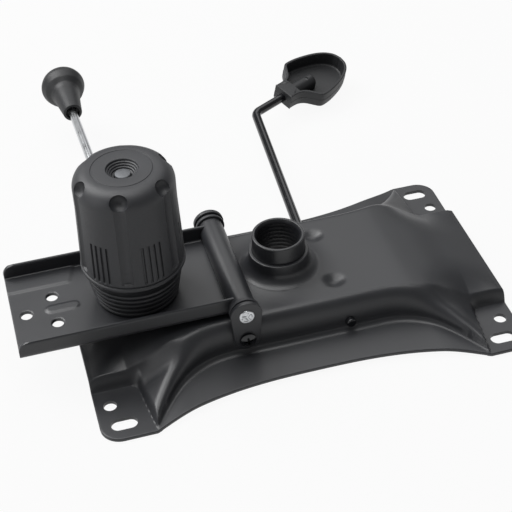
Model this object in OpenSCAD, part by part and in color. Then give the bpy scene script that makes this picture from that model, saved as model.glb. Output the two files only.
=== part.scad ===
// Push back mechanism of an office chair, drawn as it stands on its four pads with the gas socket up
// X points to the front of the chair, Y to the lever side, Z away from the seat
// The origin is on the axis of the gas socket, in the plane that the four pads stand on

/* [Seat plate] */
// Length of the seat plate
plate_l = 284.4; // [272:0.2:300]
// Width of the seat plate over its four pads
plate_w = 186.4; // [180:0.2:200]
// Place of the plate's middle ahead of the socket
plate_x = 2; // [0:0.5:5]
// Thickness of the pressed sheet
sheet_t = 2.5; // [2:0.1:3]
// Height of the crown over the pads' underside
crown_h = 32; // [29:0.5:32]
// Width of the crown between the outer faces of its upright walls
crown_w = 95.2; // [90:0.2:100]
// Place of the crown's middle ahead of the socket
crown_x = 5; // [2:0.5:7]
// Height of the two raised short edges
end_h = 11; // [8:0.5:13]
// Height of the crown's corners beside the pads
corner_h = 12.5; // [11:0.5:15]
// Height of the long edges at the waist
waist_h = 5.7; // [4:0.1:7]
// Width of the plate at its waist
waist_w = 148; // [140:1:156]
// Distance of the round pad holes from the plate's short edges
hole_end = 9.7; // [8:0.1:14]
// Distance of the round pad holes from the plate's long edges
hole_side = 29.9; // [27:0.1:34]
// Diameter of the round pad holes
hole_d = 8.6; // [6:0.1:10]
// Distance of the pad slots from the plate's short edges
slot_end = 15.4; // [14:0.1:18]
// Distance of the pad slots from the plate's long edges
slot_side = 12.4; // [11:0.1:15]
// Width of the pad slots
slot_d = 9.6; // [7:0.1:11]
// Length of the pad slots
slot_l = 17; // [14:0.5:20]

/* [Gas socket] */
// Outer diameter of the socket tube
socket_od = 35; // [34:0.1:36.4]
// Bore of the socket tube
socket_bore = 28.6; // [27.5:0.1:30]
// Height of the socket's upper rim
socket_top = 60.4; // [54:0.1:66]
// Height of the drawn collar round the socket
collar_h = 16.1; // [12:0.1:19]
// Radius where the collar runs out into the crown
collar_fillet = 6.5; // [4:0.5:8]

/* [Inner brace] */
// Sheet thickness of the brace
brace_t = 2.5; // [2:0.1:3]
// Height of the brace's web over the pads
brace_z = 11; // [10:0.5:12.5]
// Rear end of the brace
brace_x0 = -48; // [-54:1:-47]
// Front end of the brace
brace_x1 = 23; // [21:0.5:23.5]

/* [Hinge] */
// Distance of the hinge axis behind the socket
hinge_back = 36; // [34:0.5:40]
// Height of the hinge axis
hinge_z = 41; // [41:0.1:46]
// Diameter of the hinge shaft
axle_d = 10; // [8:0.2:11]
// Outer diameter of the cross tube
tube_od = 17; // [16:0.1:17.2]
// Outer diameter of the bush flanges
bush_flange_d = 20; // [18:0.1:20.5]
// Thickness of the bush flanges
bush_flange_t = 4; // [2:0.1:4]
// Thickness of the side lugs
lug_t = 3; // [2:0.1:4]
// Width of the side lugs
lug_w = 21; // [18:0.5:24]
// Height of the lug screws
lug_screw_z = 21.5; // [20:0.1:22]
// Thread diameter of the lug screws
lug_screw_d = 6; // [5:0.5:6]

/* [Back channel] */
// Length of the channel behind the hinge axis
channel_l = 143; // [130:1:160]
// Outer width of the channel
channel_w = 79.4; // [74:0.2:80]
// Sheet thickness of the channel
channel_t = 2.5; // [2:0.1:3]
// Height of the channel over its underside
channel_h = 13.2; // [11.4:0.1:16]
// Height of the channel's underside over the pads
channel_z = 34.7; // [34.6:0.1:36]
// Diameter of the three bolt holes at the free end
back_hole_d = 7.8; // [6:0.1:9]
// Distance of the single hole from the free end
back_hole_in = 9.3; // [8:0.1:14]
// Distance between the single hole and the pair, along the channel
back_hole_run = 18.4; // [14:0.1:22]
// Distance between the two holes of the pair
back_hole_gap = 25.8; // [20:0.2:32]
// Sideways place of the hole pattern
back_hole_y = -1.6; // [-4:0.1:4]

/* [Tension spring] */
// Distance of the spring bolt behind the hinge axis
bolt_back = 60.5; // [58:0.5:64]
// Thread diameter of the spring bolt
bolt_d = 10; // [8:0.5:10]
// Rise of the bolt's thread in one turn
bolt_pitch = 1.5; // [1:0.25:1.5]
// Height of the bolt's upper end
bolt_top = 132.4; // [132:0.1:136]
// Outer diameter of the spring
spring_od = 46; // [42:0.5:47]
// Wire diameter of the spring
wire_d = 6; // [4:0.5:7]
// Number of turns of the spring
spring_turns = 6.5; // [5:0.5:7.5]
// Diameter of the cup at the channel
cup_d = 54; // [53:0.2:55]
// Widening of the cup's radius for each millimetre of height
cup_flare = 0.19; // [0.14:0.01:0.2]
// Height of the cup over the channel's floor
cup_h = 34; // [28:0.5:38]
// Number of rings round the cup
cup_rings = 5; // [3:1:5]
// Distance from ring to ring
cup_ring_pitch = 4.3; // [3.6:0.1:4.4]

/* [Tension knob] */
// Diameter of the knob at its rim
knob_d = 67.6; // [67.2:0.2:74]
// Diameter of the knob below its shoulder
knob_top_d = 63.6; // [60:0.2:66]
// Height of the knob
knob_h = 71.5; // [68:0.1:76]
// Height of the knob's flat top
knob_z = 136; // [135:0.1:138]
// Radius of the knob's shoulder
knob_shoulder = 11; // [8:0.5:13]
// Number of finger scallops round the knob
scallops = 6; // [4:1:7]
// Radius of the finger scallops
scallop_r = 7; // [5:0.5:8]
// Width of the groove below each scallop
groove_w = 7.5; // [5:0.5:9]
// Depth of the grooves
groove_deep = 0.8; // [0.5:0.1:1.2]
// Number of slits in each group
slits = 4; // [2:1:5]
// Width of each slit
slit_w = 1.3; // [0.8:0.1:1.8]
// Length of the slits
slit_l = 28; // [20:1:32]

/* [Tilt lock] */
// Diameter of the lock rod
lock_d = 7; // [5:0.1:7]
// Distance of the lock knob's outer face from the mechanism's middle
lock_reach = 262; // [240:1:280]
// Angle between the lock rod and the crosswise direction
lock_splay = 2; // [0:0.2:4]
// Travel of the lock rod from free to locked
lock_travel = 5.2; // [4:0.1:5.4]
// Diameter of the lock knob
lock_knob_d = 35; // [30:0.5:40]
// Thickness of the lock tab
lock_tab_t = 2.8; // [2:0.1:3]

/* [Gas lever] */
// Diameter of the gas lever's rod
gas_d = 7; // [5:0.1:7]
// Distance of the rod's shaft ahead of the socket
gas_x = 32.5; // [31.6:0.1:34]
// Height of the rod's shaft
gas_z = 15; // [14.6:0.1:15.6]
// Slant of the shaft away from the crosswise direction
gas_skew = 2.15; // [0:0.05:3]
// Rise of the long leg above the shaft at the bend
gas_rise = 3; // [0:0.5:8]
// Sideways distance from the socket to the lever's bend
gas_bend_y = 202; // [180:1:220]
// Angle of the long leg away from the crosswise direction
gas_splay = 3.5; // [0:0.1:5]
// Angle of the paddle ahead of the crosswise direction
paddle_turn = 60.5; // [45:0.5:75]
// Roll of the paddle about its rod
paddle_roll = 14; // [0:1:20]
// Length of the paddle
paddle_l = 69; // [60:1:85]
// Width of the paddle
paddle_w = 46; // [44:1:60]
// Height of the paddle's rim
paddle_h = 14; // [13:0.5:18]
// Wall of the paddle
paddle_wall = 2.2; // [1.6:0.1:3]

/* [Hidden] */
$fn = 96;
eps = 0.01;
run_gap = 0.05;
seat_gap = 0.04;

black_steel = "#2b2c2e";
grey_steel = "#8d9195";
bright_steel = "#c9ccce";
black_plastic = "#26272a";
spring_steel = "#55585c";

// Plan of the seat plate
crown_half = crown_w / 2;
plate_half = plate_l / 2;
pad_half = plate_w / 2;
waist_half = waist_w / 2;
flare_from = 48;
flare_to = 110;
pad_in = plate_half - 26.7;
hole_l = plate_l - 2 * hole_end;
hole_w = plate_w - 2 * hole_side;
slot_pitch_l = plate_l - 2 * slot_end;
slot_pitch_w = plate_w - 2 * slot_side;
pad_step = crown_half + 1.7;
pocket_rise = 3;
wall_in = crown_half - sheet_t;
corner_r = 13;
gusset_from = 73;
shelf_drop = 2.2;
fillet_lo = 4;

function clamp01(t) = max(0, min(1, t));
function ss(t) = let(c = clamp01(t)) c * c * (3 - 2 * c);
function smin(a, b, k) = let(h = max(k - abs(a - b), 0) / k) min(a, b) - h * h * k / 4;
// Half-width of the crown's foot at the distance u from its middle
function foot(u) = crown_half + (pad_half - 4.6 - crown_half) * pow(clamp01((u - flare_from) / (flare_to - flare_from)), 2.4);
// Half-width of the plate's edge
function edge(u) = waist_half + (pad_half - waist_half) * pow(clamp01(u / 111), 2.7);
// Run of the wall's rounding, and how full that rounding is
function wall_run(u) = 9 + 3 * ss((u - 50) / 42);
function wall_full(u) = 2.3 - 0.5 * ss((u - 52) / 40);
// Height of the shelf outside the wall
function shelf(u, v) = let(k = 1 - ss((u - 80) / 36))
  sheet_t + (waist_h - sheet_t) * k + shelf_drop * k * clamp01((edge(u) - v) / (waist_half - crown_half));
// Height of the crown: flat top and sloping ends; o is the depth below the outer surface
function ridge(e, o) = smin(crown_h - o, end_h + (plate_half - e) * 0.4 - o * 1.077, 10);
// Beside the pads the crown droops to a level crest, and a gusset falls from its side to the pad
function droop(u, c) = min(8.5 * ss((u - 80) / 32), max(0, c - corner_h));
function side(u, v, o, c) = c - droop(u, c + o) * pow(clamp01((v - 12) / 33), 2) - 1.05 * max(0, v - 45) - o * 0.25;
function gusset(u, o) = crown_h - 0.62 * (u - gusset_from) - o * 1.18;
function crown(e, u, v, o) = let(c = ridge(e, o)) smin(c, -smin(-side(u, v, o, c), -gusset(u, o), 7), 3);
function quarter(t, n) = pow(max(0, 1 - pow(clamp01(1 - t), n)), 1 / n);
function raised(e, u, v, o) = let(f = foot(u) - o * (0.72 + 0.28 * (1 - ss((u - 52) / 30))), s = shelf(u, v) - o,
    c = crown(e, u, v, o), b = min(fillet_lo, max(0, c - s) / 3))
  c <= s + 0.05 ? s :
  v >= f ? s + b * (1 - sqrt(1 - pow(clamp01(1 - (v - f) / fillet_lo), 2))) :
  s + b + (c - s - b) * quarter((f - v) / wall_run(u), wall_full(u));
// The pads lie in pockets at the four corners
function pocket(u, v, o) = let(p = smin(u - (pad_in - 0.118 * (v - 50)), v - pad_step, 6))
  sheet_t + max(0, -p) * pocket_rise - (p < 0 ? min(o * sqrt(1 + pocket_rise * pocket_rise), o - p * 4) : o);
function plate_z(x, y, o) = let(u = abs(x - crown_x), v = abs(y), e = abs(x - plate_x))
  max(sheet_t - o, smin(raised(e, u, v, o), pocket(u, v, o), 3));

// Stations of the sheet's grid
us = [0, 9, 18, 27, 36, 44, 50, 56, 62, 68, 74, 80, 86, 92, 97, 101, 104.5, 107.5, 109.5, 111, 112.5, 114, 115.5, 117, 119, 122, 126];
es = [130.5, 134, 137, 139.6, 141.4, 142.2];
function mirror_list(a) = concat([for (i = [len(a) - 1 : -1 : 1]) -a[i]], a);
xs = concat([for (i = [len(es) - 1 : -1 : 0]) plate_x - es[i] * plate_half / 142.2],
  [for (u = mirror_list(us)) crown_x + u],
  [for (e = es) plate_x + e * plate_half / 142.2]);
vs = [-47.6, -31, -16, -9, -5, -2.4, -1, -0.3, 0.02, 0.5, 1.8, 4, 10];
function lines(x) = let(u = abs(x - crown_x), e = abs(x - plate_x) * 142.2 / plate_half,
    k = 1 - ss((u - 97) / 14),
    w = e < 129.2 ? edge(u) : pad_half - corner_r + sqrt(max(0, corner_r * corner_r - pow(e - 129.2, 2))),
    f = crown_half + (foot(u) - crown_half) * k, m = 1 + (wall_run(u) / 9 - 1) * k * 0.8)
  concat([for (i = [0 : len(vs) - 1]) i == 0 ? 0 : vs[i] < 0 ? f + max(vs[i] * m, -f * (1 - i / 14)) : min(f + vs[i], w - 0.25 * (13 - i))],
    [for (i = [1 : 3]) let(g = min(f + 10, w - 0.25)) g + (w - g) * i / 3]);
nl = len(vs) + 3;
nx = len(xs);
row = 2 * nl - 1;
ys = [for (x = xs) let(l = lines(x)) concat([for (j = [nl - 1 : -1 : 1]) -l[j]], l)];
sheet_pts = concat(
  [for (i = [0 : nx - 1]) for (j = [0 : row - 1]) [xs[i], ys[i][j], plate_z(xs[i], ys[i][j], 0)]],
  [for (i = [0 : nx - 1]) for (j = [0 : row - 1]) [xs[i], ys[i][j], plate_z(xs[i], ys[i][j], sheet_t)]]);
np = nx * row;
function at(i, j) = i * row + j;
sheet_faces = concat(
  [for (i = [0 : nx - 2]) for (j = [0 : row - 2]) each [[at(i, j), at(i, j + 1), at(i + 1, j + 1)], [at(i, j), at(i + 1, j + 1), at(i + 1, j)]]],
  [for (i = [0 : nx - 2]) for (j = [0 : row - 2]) each [[np + at(i, j), np + at(i + 1, j + 1), np + at(i, j + 1)], [np + at(i, j), np + at(i + 1, j), np + at(i + 1, j + 1)]]],
  [for (i = [0 : nx - 2]) each [[at(i, 0), at(i + 1, 0), np + at(i + 1, 0)], [at(i, 0), np + at(i + 1, 0), np + at(i, 0)],
    [at(i, row - 1), np + at(i + 1, row - 1), at(i + 1, row - 1)], [at(i, row - 1), np + at(i, row - 1), np + at(i + 1, row - 1)]]],
  [for (j = [0 : row - 2]) each [[at(0, j), np + at(0, j), np + at(0, j + 1)], [at(0, j), np + at(0, j + 1), at(0, j + 1)],
    [at(nx - 1, j), at(nx - 1, j + 1), np + at(nx - 1, j + 1)], [at(nx - 1, j), np + at(nx - 1, j + 1), np + at(nx - 1, j)]]]);

hinge_x = -hinge_back;
bolt_x = hinge_x - bolt_back;
lug_in = crown_half + seat_gap;
lug_out = lug_in + lug_t;
floor_z = channel_z + channel_t;
socket_r = socket_od / 2;
brace_half = wall_in - 2.6;
brace_h = 11.4;
gas_shaft_d = gas_d - 0.4;
flange_in = channel_w / 2 - channel_t;

module tube_y(d, y0, y1) { translate([0, y1, 0]) rotate([90, 0, 0]) cylinder(d = d, h = y1 - y0); }
module slot2d(l, d) { for (s = [-1, 1]) translate([s * (l - d) / 2, 0]) circle(d = d); square([l - d, d], center = true); }

module seat_plate() {
  color(black_steel) difference() {
    union() {
      polyhedron(points = sheet_pts, faces = sheet_faces, convexity = 8);
      rotate_extrude() difference() {
        translate([socket_r + run_gap, crown_h - sheet_t + 0.1]) square([sheet_t + collar_fillet, collar_h + sheet_t - 0.1]);
        translate([socket_r + sheet_t + collar_fillet + run_gap, crown_h + collar_fillet]) circle(r = collar_fillet);
        translate([socket_r + sheet_t + run_gap, crown_h + collar_fillet]) square([collar_fillet + 1, collar_h]);
      }
    }
    translate([0, 0, crown_h - 8]) cylinder(r = socket_r + run_gap, h = collar_h + 20);
    for (sx = [-1, 1], sy = [-1, 1]) {
      translate([plate_x + sx * hole_l / 2, sy * hole_w / 2, -1]) cylinder(d = hole_d, h = sheet_t + 3);
      translate([plate_x + sx * slot_pitch_l / 2, sy * slot_pitch_w / 2, -1]) linear_extrude(sheet_t + 3) slot2d(slot_l, slot_d);
    }
    translate([bolt_x - 2, 0, crown_h - 14]) linear_extrude(20) slot2d(bolt_d + 9, bolt_d + 1);
    for (s = [-1, 1]) translate([hinge_x, s * (crown_half - 3), lug_screw_z]) tube_y(lug_screw_d + 0.3, -5, 5);
    on_shaft() tube_y(gas_shaft_d + 2 * run_gap, -crown_half - 6, 6 - crown_half);
    on_shaft() tube_y(gas_shaft_d + 2 + 2 * run_gap, crown_half - 9, crown_half + 6);
    for (s = [-1, 1]) translate([dimple_x, s * dimple_y, crown_h + 8.6]) sphere(r = 10);
  }
}
dimple_x = 31;
dimple_y = 24.4;

module gas_socket() {
  color(grey_steel) translate([0, 0, brace_z]) difference() {
    cylinder(r = socket_r, h = socket_top - brace_z);
    translate([0, 0, -1]) cylinder(d = socket_bore, h = socket_top - brace_z + 2);
    translate([0, 0, socket_top - brace_z - 1.5]) cylinder(d1 = socket_bore - eps, d2 = socket_bore + 1.8, h = 1.51);
  }
}

module inner_brace() {
  color(black_steel) difference() {
    union() {
      translate([brace_x0, -brace_half, brace_z]) cube([brace_x1 - brace_x0, 2 * brace_half, brace_t]);
      for (s = [-1, 1]) translate([brace_x0, s > 0 ? brace_half - brace_t : -brace_half, brace_z]) cube([brace_x1 - brace_x0, brace_t, brace_h]);
    }
    translate([0, 0, brace_z - 1]) cylinder(r = socket_r + run_gap, h = brace_t + 2);
    for (s = [-1, 1]) translate([hinge_x, s * brace_half, lug_screw_z]) tube_y(lug_screw_d + 0.3, -5, 5);
  }
}

// Side lug: two rounds of different size and a web between them
lug_low_r = lug_w / 2 - 1.8;
module lug() {
  r1 = lug_w / 2;
  translate([0, lug_out, 0]) rotate([90, 0, 0]) difference() {
    union() {
      translate([0, hinge_z, 0]) cylinder(r = r1, h = lug_t);
      translate([0, lug_screw_z, 0]) cylinder(r = lug_low_r, h = lug_t);
      linear_extrude(lug_t) polygon([[r1 - 0.15, hinge_z], [lug_low_r - 0.15, lug_screw_z], [0.15 - lug_low_r, lug_screw_z], [0.15 - r1, hinge_z]]);
    }
    translate([0, hinge_z, -1]) cylinder(d = axle_d + 0.02, h = lug_t + 2);
    translate([0, lug_screw_z, -1]) cylinder(d = lug_screw_d + 0.3, h = lug_t + 2);
  }
}
module lug_far() { color(black_steel) translate([hinge_x, 0, 0]) lug(); }
module lug_near() { color(black_steel) translate([hinge_x, 0, 0]) mirror([0, 1, 0]) lug(); }

module lug_screw() {
  head_r = lug_screw_d * 0.87;
  head_h = lug_screw_d * 0.45;
  translate([0, lug_out + run_gap, lug_screw_z]) rotate([-90, 0, 0]) difference() {
    union() {
      translate([0, 0, -(lug_out - brace_half + brace_t + 7)]) cylinder(d = lug_screw_d, h = lug_out - brace_half + brace_t + 7.5);
      intersection() {
        cylinder(r = head_r, h = head_h);
        translate([0, 0, head_h - 11]) sphere(r = 11);
      }
    }
    for (a = [0, 90]) rotate([0, 0, a]) translate([-head_r * 0.55, -0.6, head_h - 1.6]) cube([head_r * 1.1, 1.2, 3]);
  }
}
module lug_screw_far() { color(black_steel) translate([hinge_x, 0, 0]) lug_screw(); }
module lug_screw_near() { color(black_steel) translate([hinge_x, 0, 0]) mirror([0, 1, 0]) lug_screw(); }
module lug_nuts() {
  color(grey_steel) for (s = [-1, 1]) translate([hinge_x, s * (brace_half - brace_t - seat_gap), lug_screw_z])
    mirror([0, s > 0 ? 0 : 1, 0]) rotate([90, 0, 0]) difference() {
      cylinder(d = lug_screw_d * 1.88, h = lug_screw_d * 0.8, $fn = 6);
      translate([0, 0, -1]) cylinder(d = lug_screw_d + 0.04, h = lug_screw_d);
    }
}

module hinge_axle() {
  color(bright_steel) translate([hinge_x, 0, hinge_z]) difference() {
    tube_y(axle_d, -lug_out - 1.1, lug_out + 1.1);
    for (s = [-1, 1], a = [30, 150, 270]) rotate([0, a, 0]) translate([1.1, s * (lug_out + 1.1) - 0.3, -0.35]) cube([axle_d * 0.3, 0.6, 0.7]);
  }
}

// Saddle below the crown that carries the spring bolt's head
saddle_top = 19;
saddle_t = 3;
saddle_back = 13.2;
saddle_front = 17;
saddle_half = 16;
saddle_knee = 9;
saddle_gap = 0.78;
saddle_sag = 1.07;
saddle_sag_from = 6;
saddle_sag_run = 15;
module bolt_saddle() {
  color(black_steel) difference() {
    union() {
      translate([bolt_x - saddle_back, -saddle_half, saddle_top - saddle_t]) cube([saddle_back + saddle_front, 2 * saddle_half, saddle_t]);
      for (s = [-1, 1]) translate([0, s * (saddle_half - saddle_t / 2) + saddle_t / 2, 0]) rotate([90, 0, 0]) linear_extrude(saddle_t)
        polygon([[bolt_x - saddle_back, saddle_top - saddle_t], [bolt_x + saddle_front, saddle_top - saddle_t],
          for (d = [saddle_front, saddle_knee, 0, -saddle_knee, -saddle_back])
            [bolt_x + d, under(bolt_x + d) - saddle_sag * clamp01((saddle_sag_from - d) / saddle_sag_run)]]);
    }
    translate([bolt_x - 4.4, 0, saddle_top - saddle_t - 1]) linear_extrude(saddle_t + 2) slot2d(bolt_d + 10.4, bolt_d + 1);
  }
}
function under(x) = plate_z(x, saddle_half - saddle_t / 2, sheet_t) - saddle_gap;

// Upright tab whose notch takes the lock rod's end
tab_y = 30.2;
lock_x = bolt_x;
lock_z = floor_z + lock_d / 2 + 0.7;
function lock_at(y) = lock_x - (y - tab_y) * tan(lock_splay);
module lock_tab() {
  color(black_steel) translate([0, tab_y + lock_tab_t, 0]) rotate([90, 0, 0]) difference() {
    linear_extrude(lock_tab_t) {
      polygon([[lock_x - 8, over(lock_x - 8)], [lock_x, over(lock_x)], [lock_x + 8, over(lock_x + 8)],
        [lock_x + 8, lock_z + 1], [lock_x - 8, lock_z + 1]]);
      intersection() {
        translate([lock_x, lock_z]) circle(r = 8);
        translate([lock_x - 9, lock_z]) square([18, 6]);
      }
    }
    translate([lock_x - notch_w / 2, lock_z - notch_w / 2, -1]) cube([notch_w, 20, lock_tab_t + 2]);
  }
}
notch_w = lock_d + 1;
function over(x) = max(plate_z(x, tab_y, 0), plate_z(x, tab_y + lock_tab_t, 0)) + 0.08;

module rest_pad() {
  color(black_plastic) translate([rest_x - 9, -14, crown_h + seat_gap]) cube([18, 28, channel_z - crown_h - 0.3]);
}
rest_x = hinge_x - 26;

module gas_bush() {
  color(black_plastic) on_shaft() difference() {
    union() {
      tube_y(gas_shaft_d + 2, wall_in - 4.4, crown_half + 1);
      tube_y(gas_shaft_d + 4, wall_in - 4.4, wall_in - 2.6);
    }
    tube_y(gas_shaft_d + 2 * run_gap, brace_half - 8, crown_half + 5);
  }
}

// Channel section: floor and two upright flanges with rounded bends
bend_r = channel_t + 1.5;
module channel_section() {
  w = channel_w / 2;
  difference() {
    union() {
      translate([-w, bend_r]) square([2 * w, channel_h - bend_r]);
      translate([-w + bend_r, 0]) square([2 * (w - bend_r), bend_r]);
      for (s = [-1, 1]) translate([s * (w - bend_r), bend_r]) circle(r = bend_r);
    }
    translate([-w + channel_t, bend_r]) square([2 * (w - channel_t), channel_h]);
    translate([-w + bend_r, channel_t]) square([2 * (w - bend_r), channel_h]);
    for (s = [-1, 1]) translate([s * (w - bend_r), bend_r]) circle(r = bend_r - channel_t);
  }
}
flange_round = 7;
bead_l = bolt_x - cup_d / 2 + 6 - (hinge_x - channel_l) - 2;
module back_channel() {
  x0 = hinge_x - channel_l;
  color(black_steel) difference() {
    union() {
      translate([x0, 0, channel_z]) rotate([90, 0, 90]) linear_extrude(channel_l) channel_section();
      translate([x0 + 2, channel_w / 2 - 17, floor_z - 0.5]) linear_extrude(1.1) translate([bead_l / 2, 0]) slot2d(bead_l, 7);
      translate([x0 + 38, back_hole_y - 1, floor_z - 0.5]) linear_extrude(1.1) translate([8.5, 0]) slot2d(17, 5.5);
    }
    translate([hinge_x, 0, hinge_z]) tube_y(tube_od + 0.04, -60, 60);
    translate([x0 - 1, -60, channel_z + channel_h - flange_round]) difference() {
      cube([flange_round + 1, 120, flange_round + 1]);
      translate([flange_round + 1, 0, 0]) tube_y(2 * flange_round, -1, 121);
    }
    translate([x0 + back_hole_in, back_hole_y, channel_z - 1]) cylinder(d = back_hole_d, h = channel_t + 3);
    for (s = [-1, 1]) translate([x0 + back_hole_in + back_hole_run, back_hole_y + s * back_hole_gap / 2, channel_z - 1])
      cylinder(d = back_hole_d, h = channel_t + 3);
    translate([bolt_x, 0, channel_z - 1]) cylinder(d = bolt_d + 2, h = channel_t + 3);
    translate([lock_x - 11.5, tab_y - 1, channel_z - 1]) cube([24, lock_tab_t + 2, channel_t + 3]);
    translate([lock_at(flange_in), flange_in, lock_z]) rotate([0, 0, lock_splay]) tube_y(lock_d + 1.1, -3, 6);
  }
}

tube_half = lug_in - bush_flange_t - 0.2;
tube_bore = axle_d + 3.2;
module hinge_tube() {
  color(black_steel) translate([hinge_x, 0, hinge_z]) difference() {
    tube_y(tube_od, -tube_half, tube_half);
    tube_y(tube_bore, -tube_half - 1, tube_half + 1);
  }
}
module hinge_bush() {
  difference() {
    union() {
      tube_y(tube_bore - 0.02, tube_half - 14, tube_half + 0.5);
      tube_y(bush_flange_d, tube_half + 0.01, tube_half + bush_flange_t);
    }
    tube_y(axle_d + 2 * run_gap, tube_half - 20, tube_half + 20);
  }
}
module hinge_bush_far() { color(black_steel) translate([hinge_x, 0, hinge_z]) hinge_bush(); }
module hinge_bush_near() { color(black_steel) translate([hinge_x, 0, hinge_z]) mirror([0, 1, 0]) hinge_bush(); }

// Ringed cup that stands on the channel and holds the spring
cup_floor = 2.5;
cup_in = spring_od / 2 + 1;
function cup_r(h) = cup_d / 2 + h * cup_flare;
ring_top = 2.4 + (cup_rings - 1) * cup_ring_pitch;
module spring_cup() {
  color(black_plastic) translate([bolt_x, 0, floor_z + seat_gap]) difference() {
    union() {
      rotate_extrude() {
        difference() {
          polygon([[0, 0], [cup_r(0) - 0.6, 0], [cup_r(0) - 0.6, 1.2], [cup_r(ring_top) - 1.3, ring_top + 0.6],
            [cup_in + 1.8, ring_top + 3.5], [cup_in + 1.8, cup_h], [0, cup_h]]);
          translate([-1, cup_floor]) square([cup_in + 1, cup_h]);
        }
        for (i = [0 : cup_rings - 1]) let(h = 2.4 + i * cup_ring_pitch) translate([cup_r(h) - 1.5, h]) circle(r = 1.4);
      }
      cylinder(d = bolt_d + 6, h = 9);
    }
    translate([0, 0, -1]) cylinder(d = bolt_d + 2 * run_gap, h = 12);
  }
}

// Helical spring swept along its centre line, with its ends drawn level
seat_under = 108;
spring_z0 = floor_z + cup_floor + 0.35;
spring_z1 = seat_under - 0.3;
coil_r = (spring_od - wire_d) / 2;
rings_turn = 14;
sides = 6;
n_ring = round(spring_turns * rings_turn);
function rise(t) = let(k = 0.75 / spring_turns) t < k ? t * t / (2 * k) : t > 1 - k ? 1 - k - (1 - t) * (1 - t) / (2 * k) : t - k / 2;
function coil_pt(t) = let(a = 360 * spring_turns * t) [coil_r * cos(a), coil_r * sin(a),
  wire_d / 2 + (spring_z1 - spring_z0 - wire_d) * rise(t) / rise(1)];
coil_pts = [for (i = [0 : n_ring]) for (j = [0 : sides - 1]) let(t = i / n_ring, c = coil_pt(t), a = 360 * spring_turns * t, b = 360 * j / sides)
  [c[0] + wire_d / 2 * cos(b) * cos(a), c[1] + wire_d / 2 * cos(b) * sin(a), c[2] + wire_d / 2 * sin(b)]];
coil_faces = concat([[for (j = [sides - 1 : -1 : 0]) j]], [[for (j = [0 : sides - 1]) n_ring * sides + j]],
  [for (i = [0 : n_ring - 1]) for (j = [0 : sides - 1]) let(a = i * sides + j, b = i * sides + (j + 1) % sides)
    each [[a, b, b + sides], [a, b + sides, a + sides]]]);
module tension_spring() {
  color(spring_steel) translate([bolt_x, 0, spring_z0]) polyhedron(points = coil_pts, faces = coil_faces, convexity = 10);
}

head_top = saddle_top - saddle_t - 2.87;
module tension_bolt() {
  color(bright_steel) translate([bolt_x, 0, 0]) {
    translate([0, 0, head_top]) cylinder(d = bolt_d, h = bolt_top - head_top - 1);
    translate([0, 0, bolt_top - 1 - eps]) cylinder(d1 = bolt_d, d2 = bolt_d - 1.6, h = 1 + eps);
    translate([0, 0, head_top - bolt_d * 0.64]) cylinder(d = bolt_d * 1.88, h = bolt_d * 0.64 + eps, $fn = 6);
  }
}
module rocker_washer() {
  color(grey_steel) translate([bolt_x, 0, head_top + seat_gap]) difference() {
    intersection() {
      cylinder(r = 9.5, h = 4);
      translate([0, 0, -7]) sphere(r = 11);
    }
    translate([0, 0, -1]) cylinder(d = bolt_d + 0.04, h = 8);
  }
}

hub_r = 13;
washer_t = 3;
module thrust_washer() {
  color(grey_steel) translate([bolt_x, 0, seat_under]) difference() {
    cylinder(r = cup_in - 0.8, h = washer_t);
    translate([0, 0, -1]) cylinder(d = bolt_d + 2 * run_gap, h = washer_t + 2);
  }
}

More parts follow.
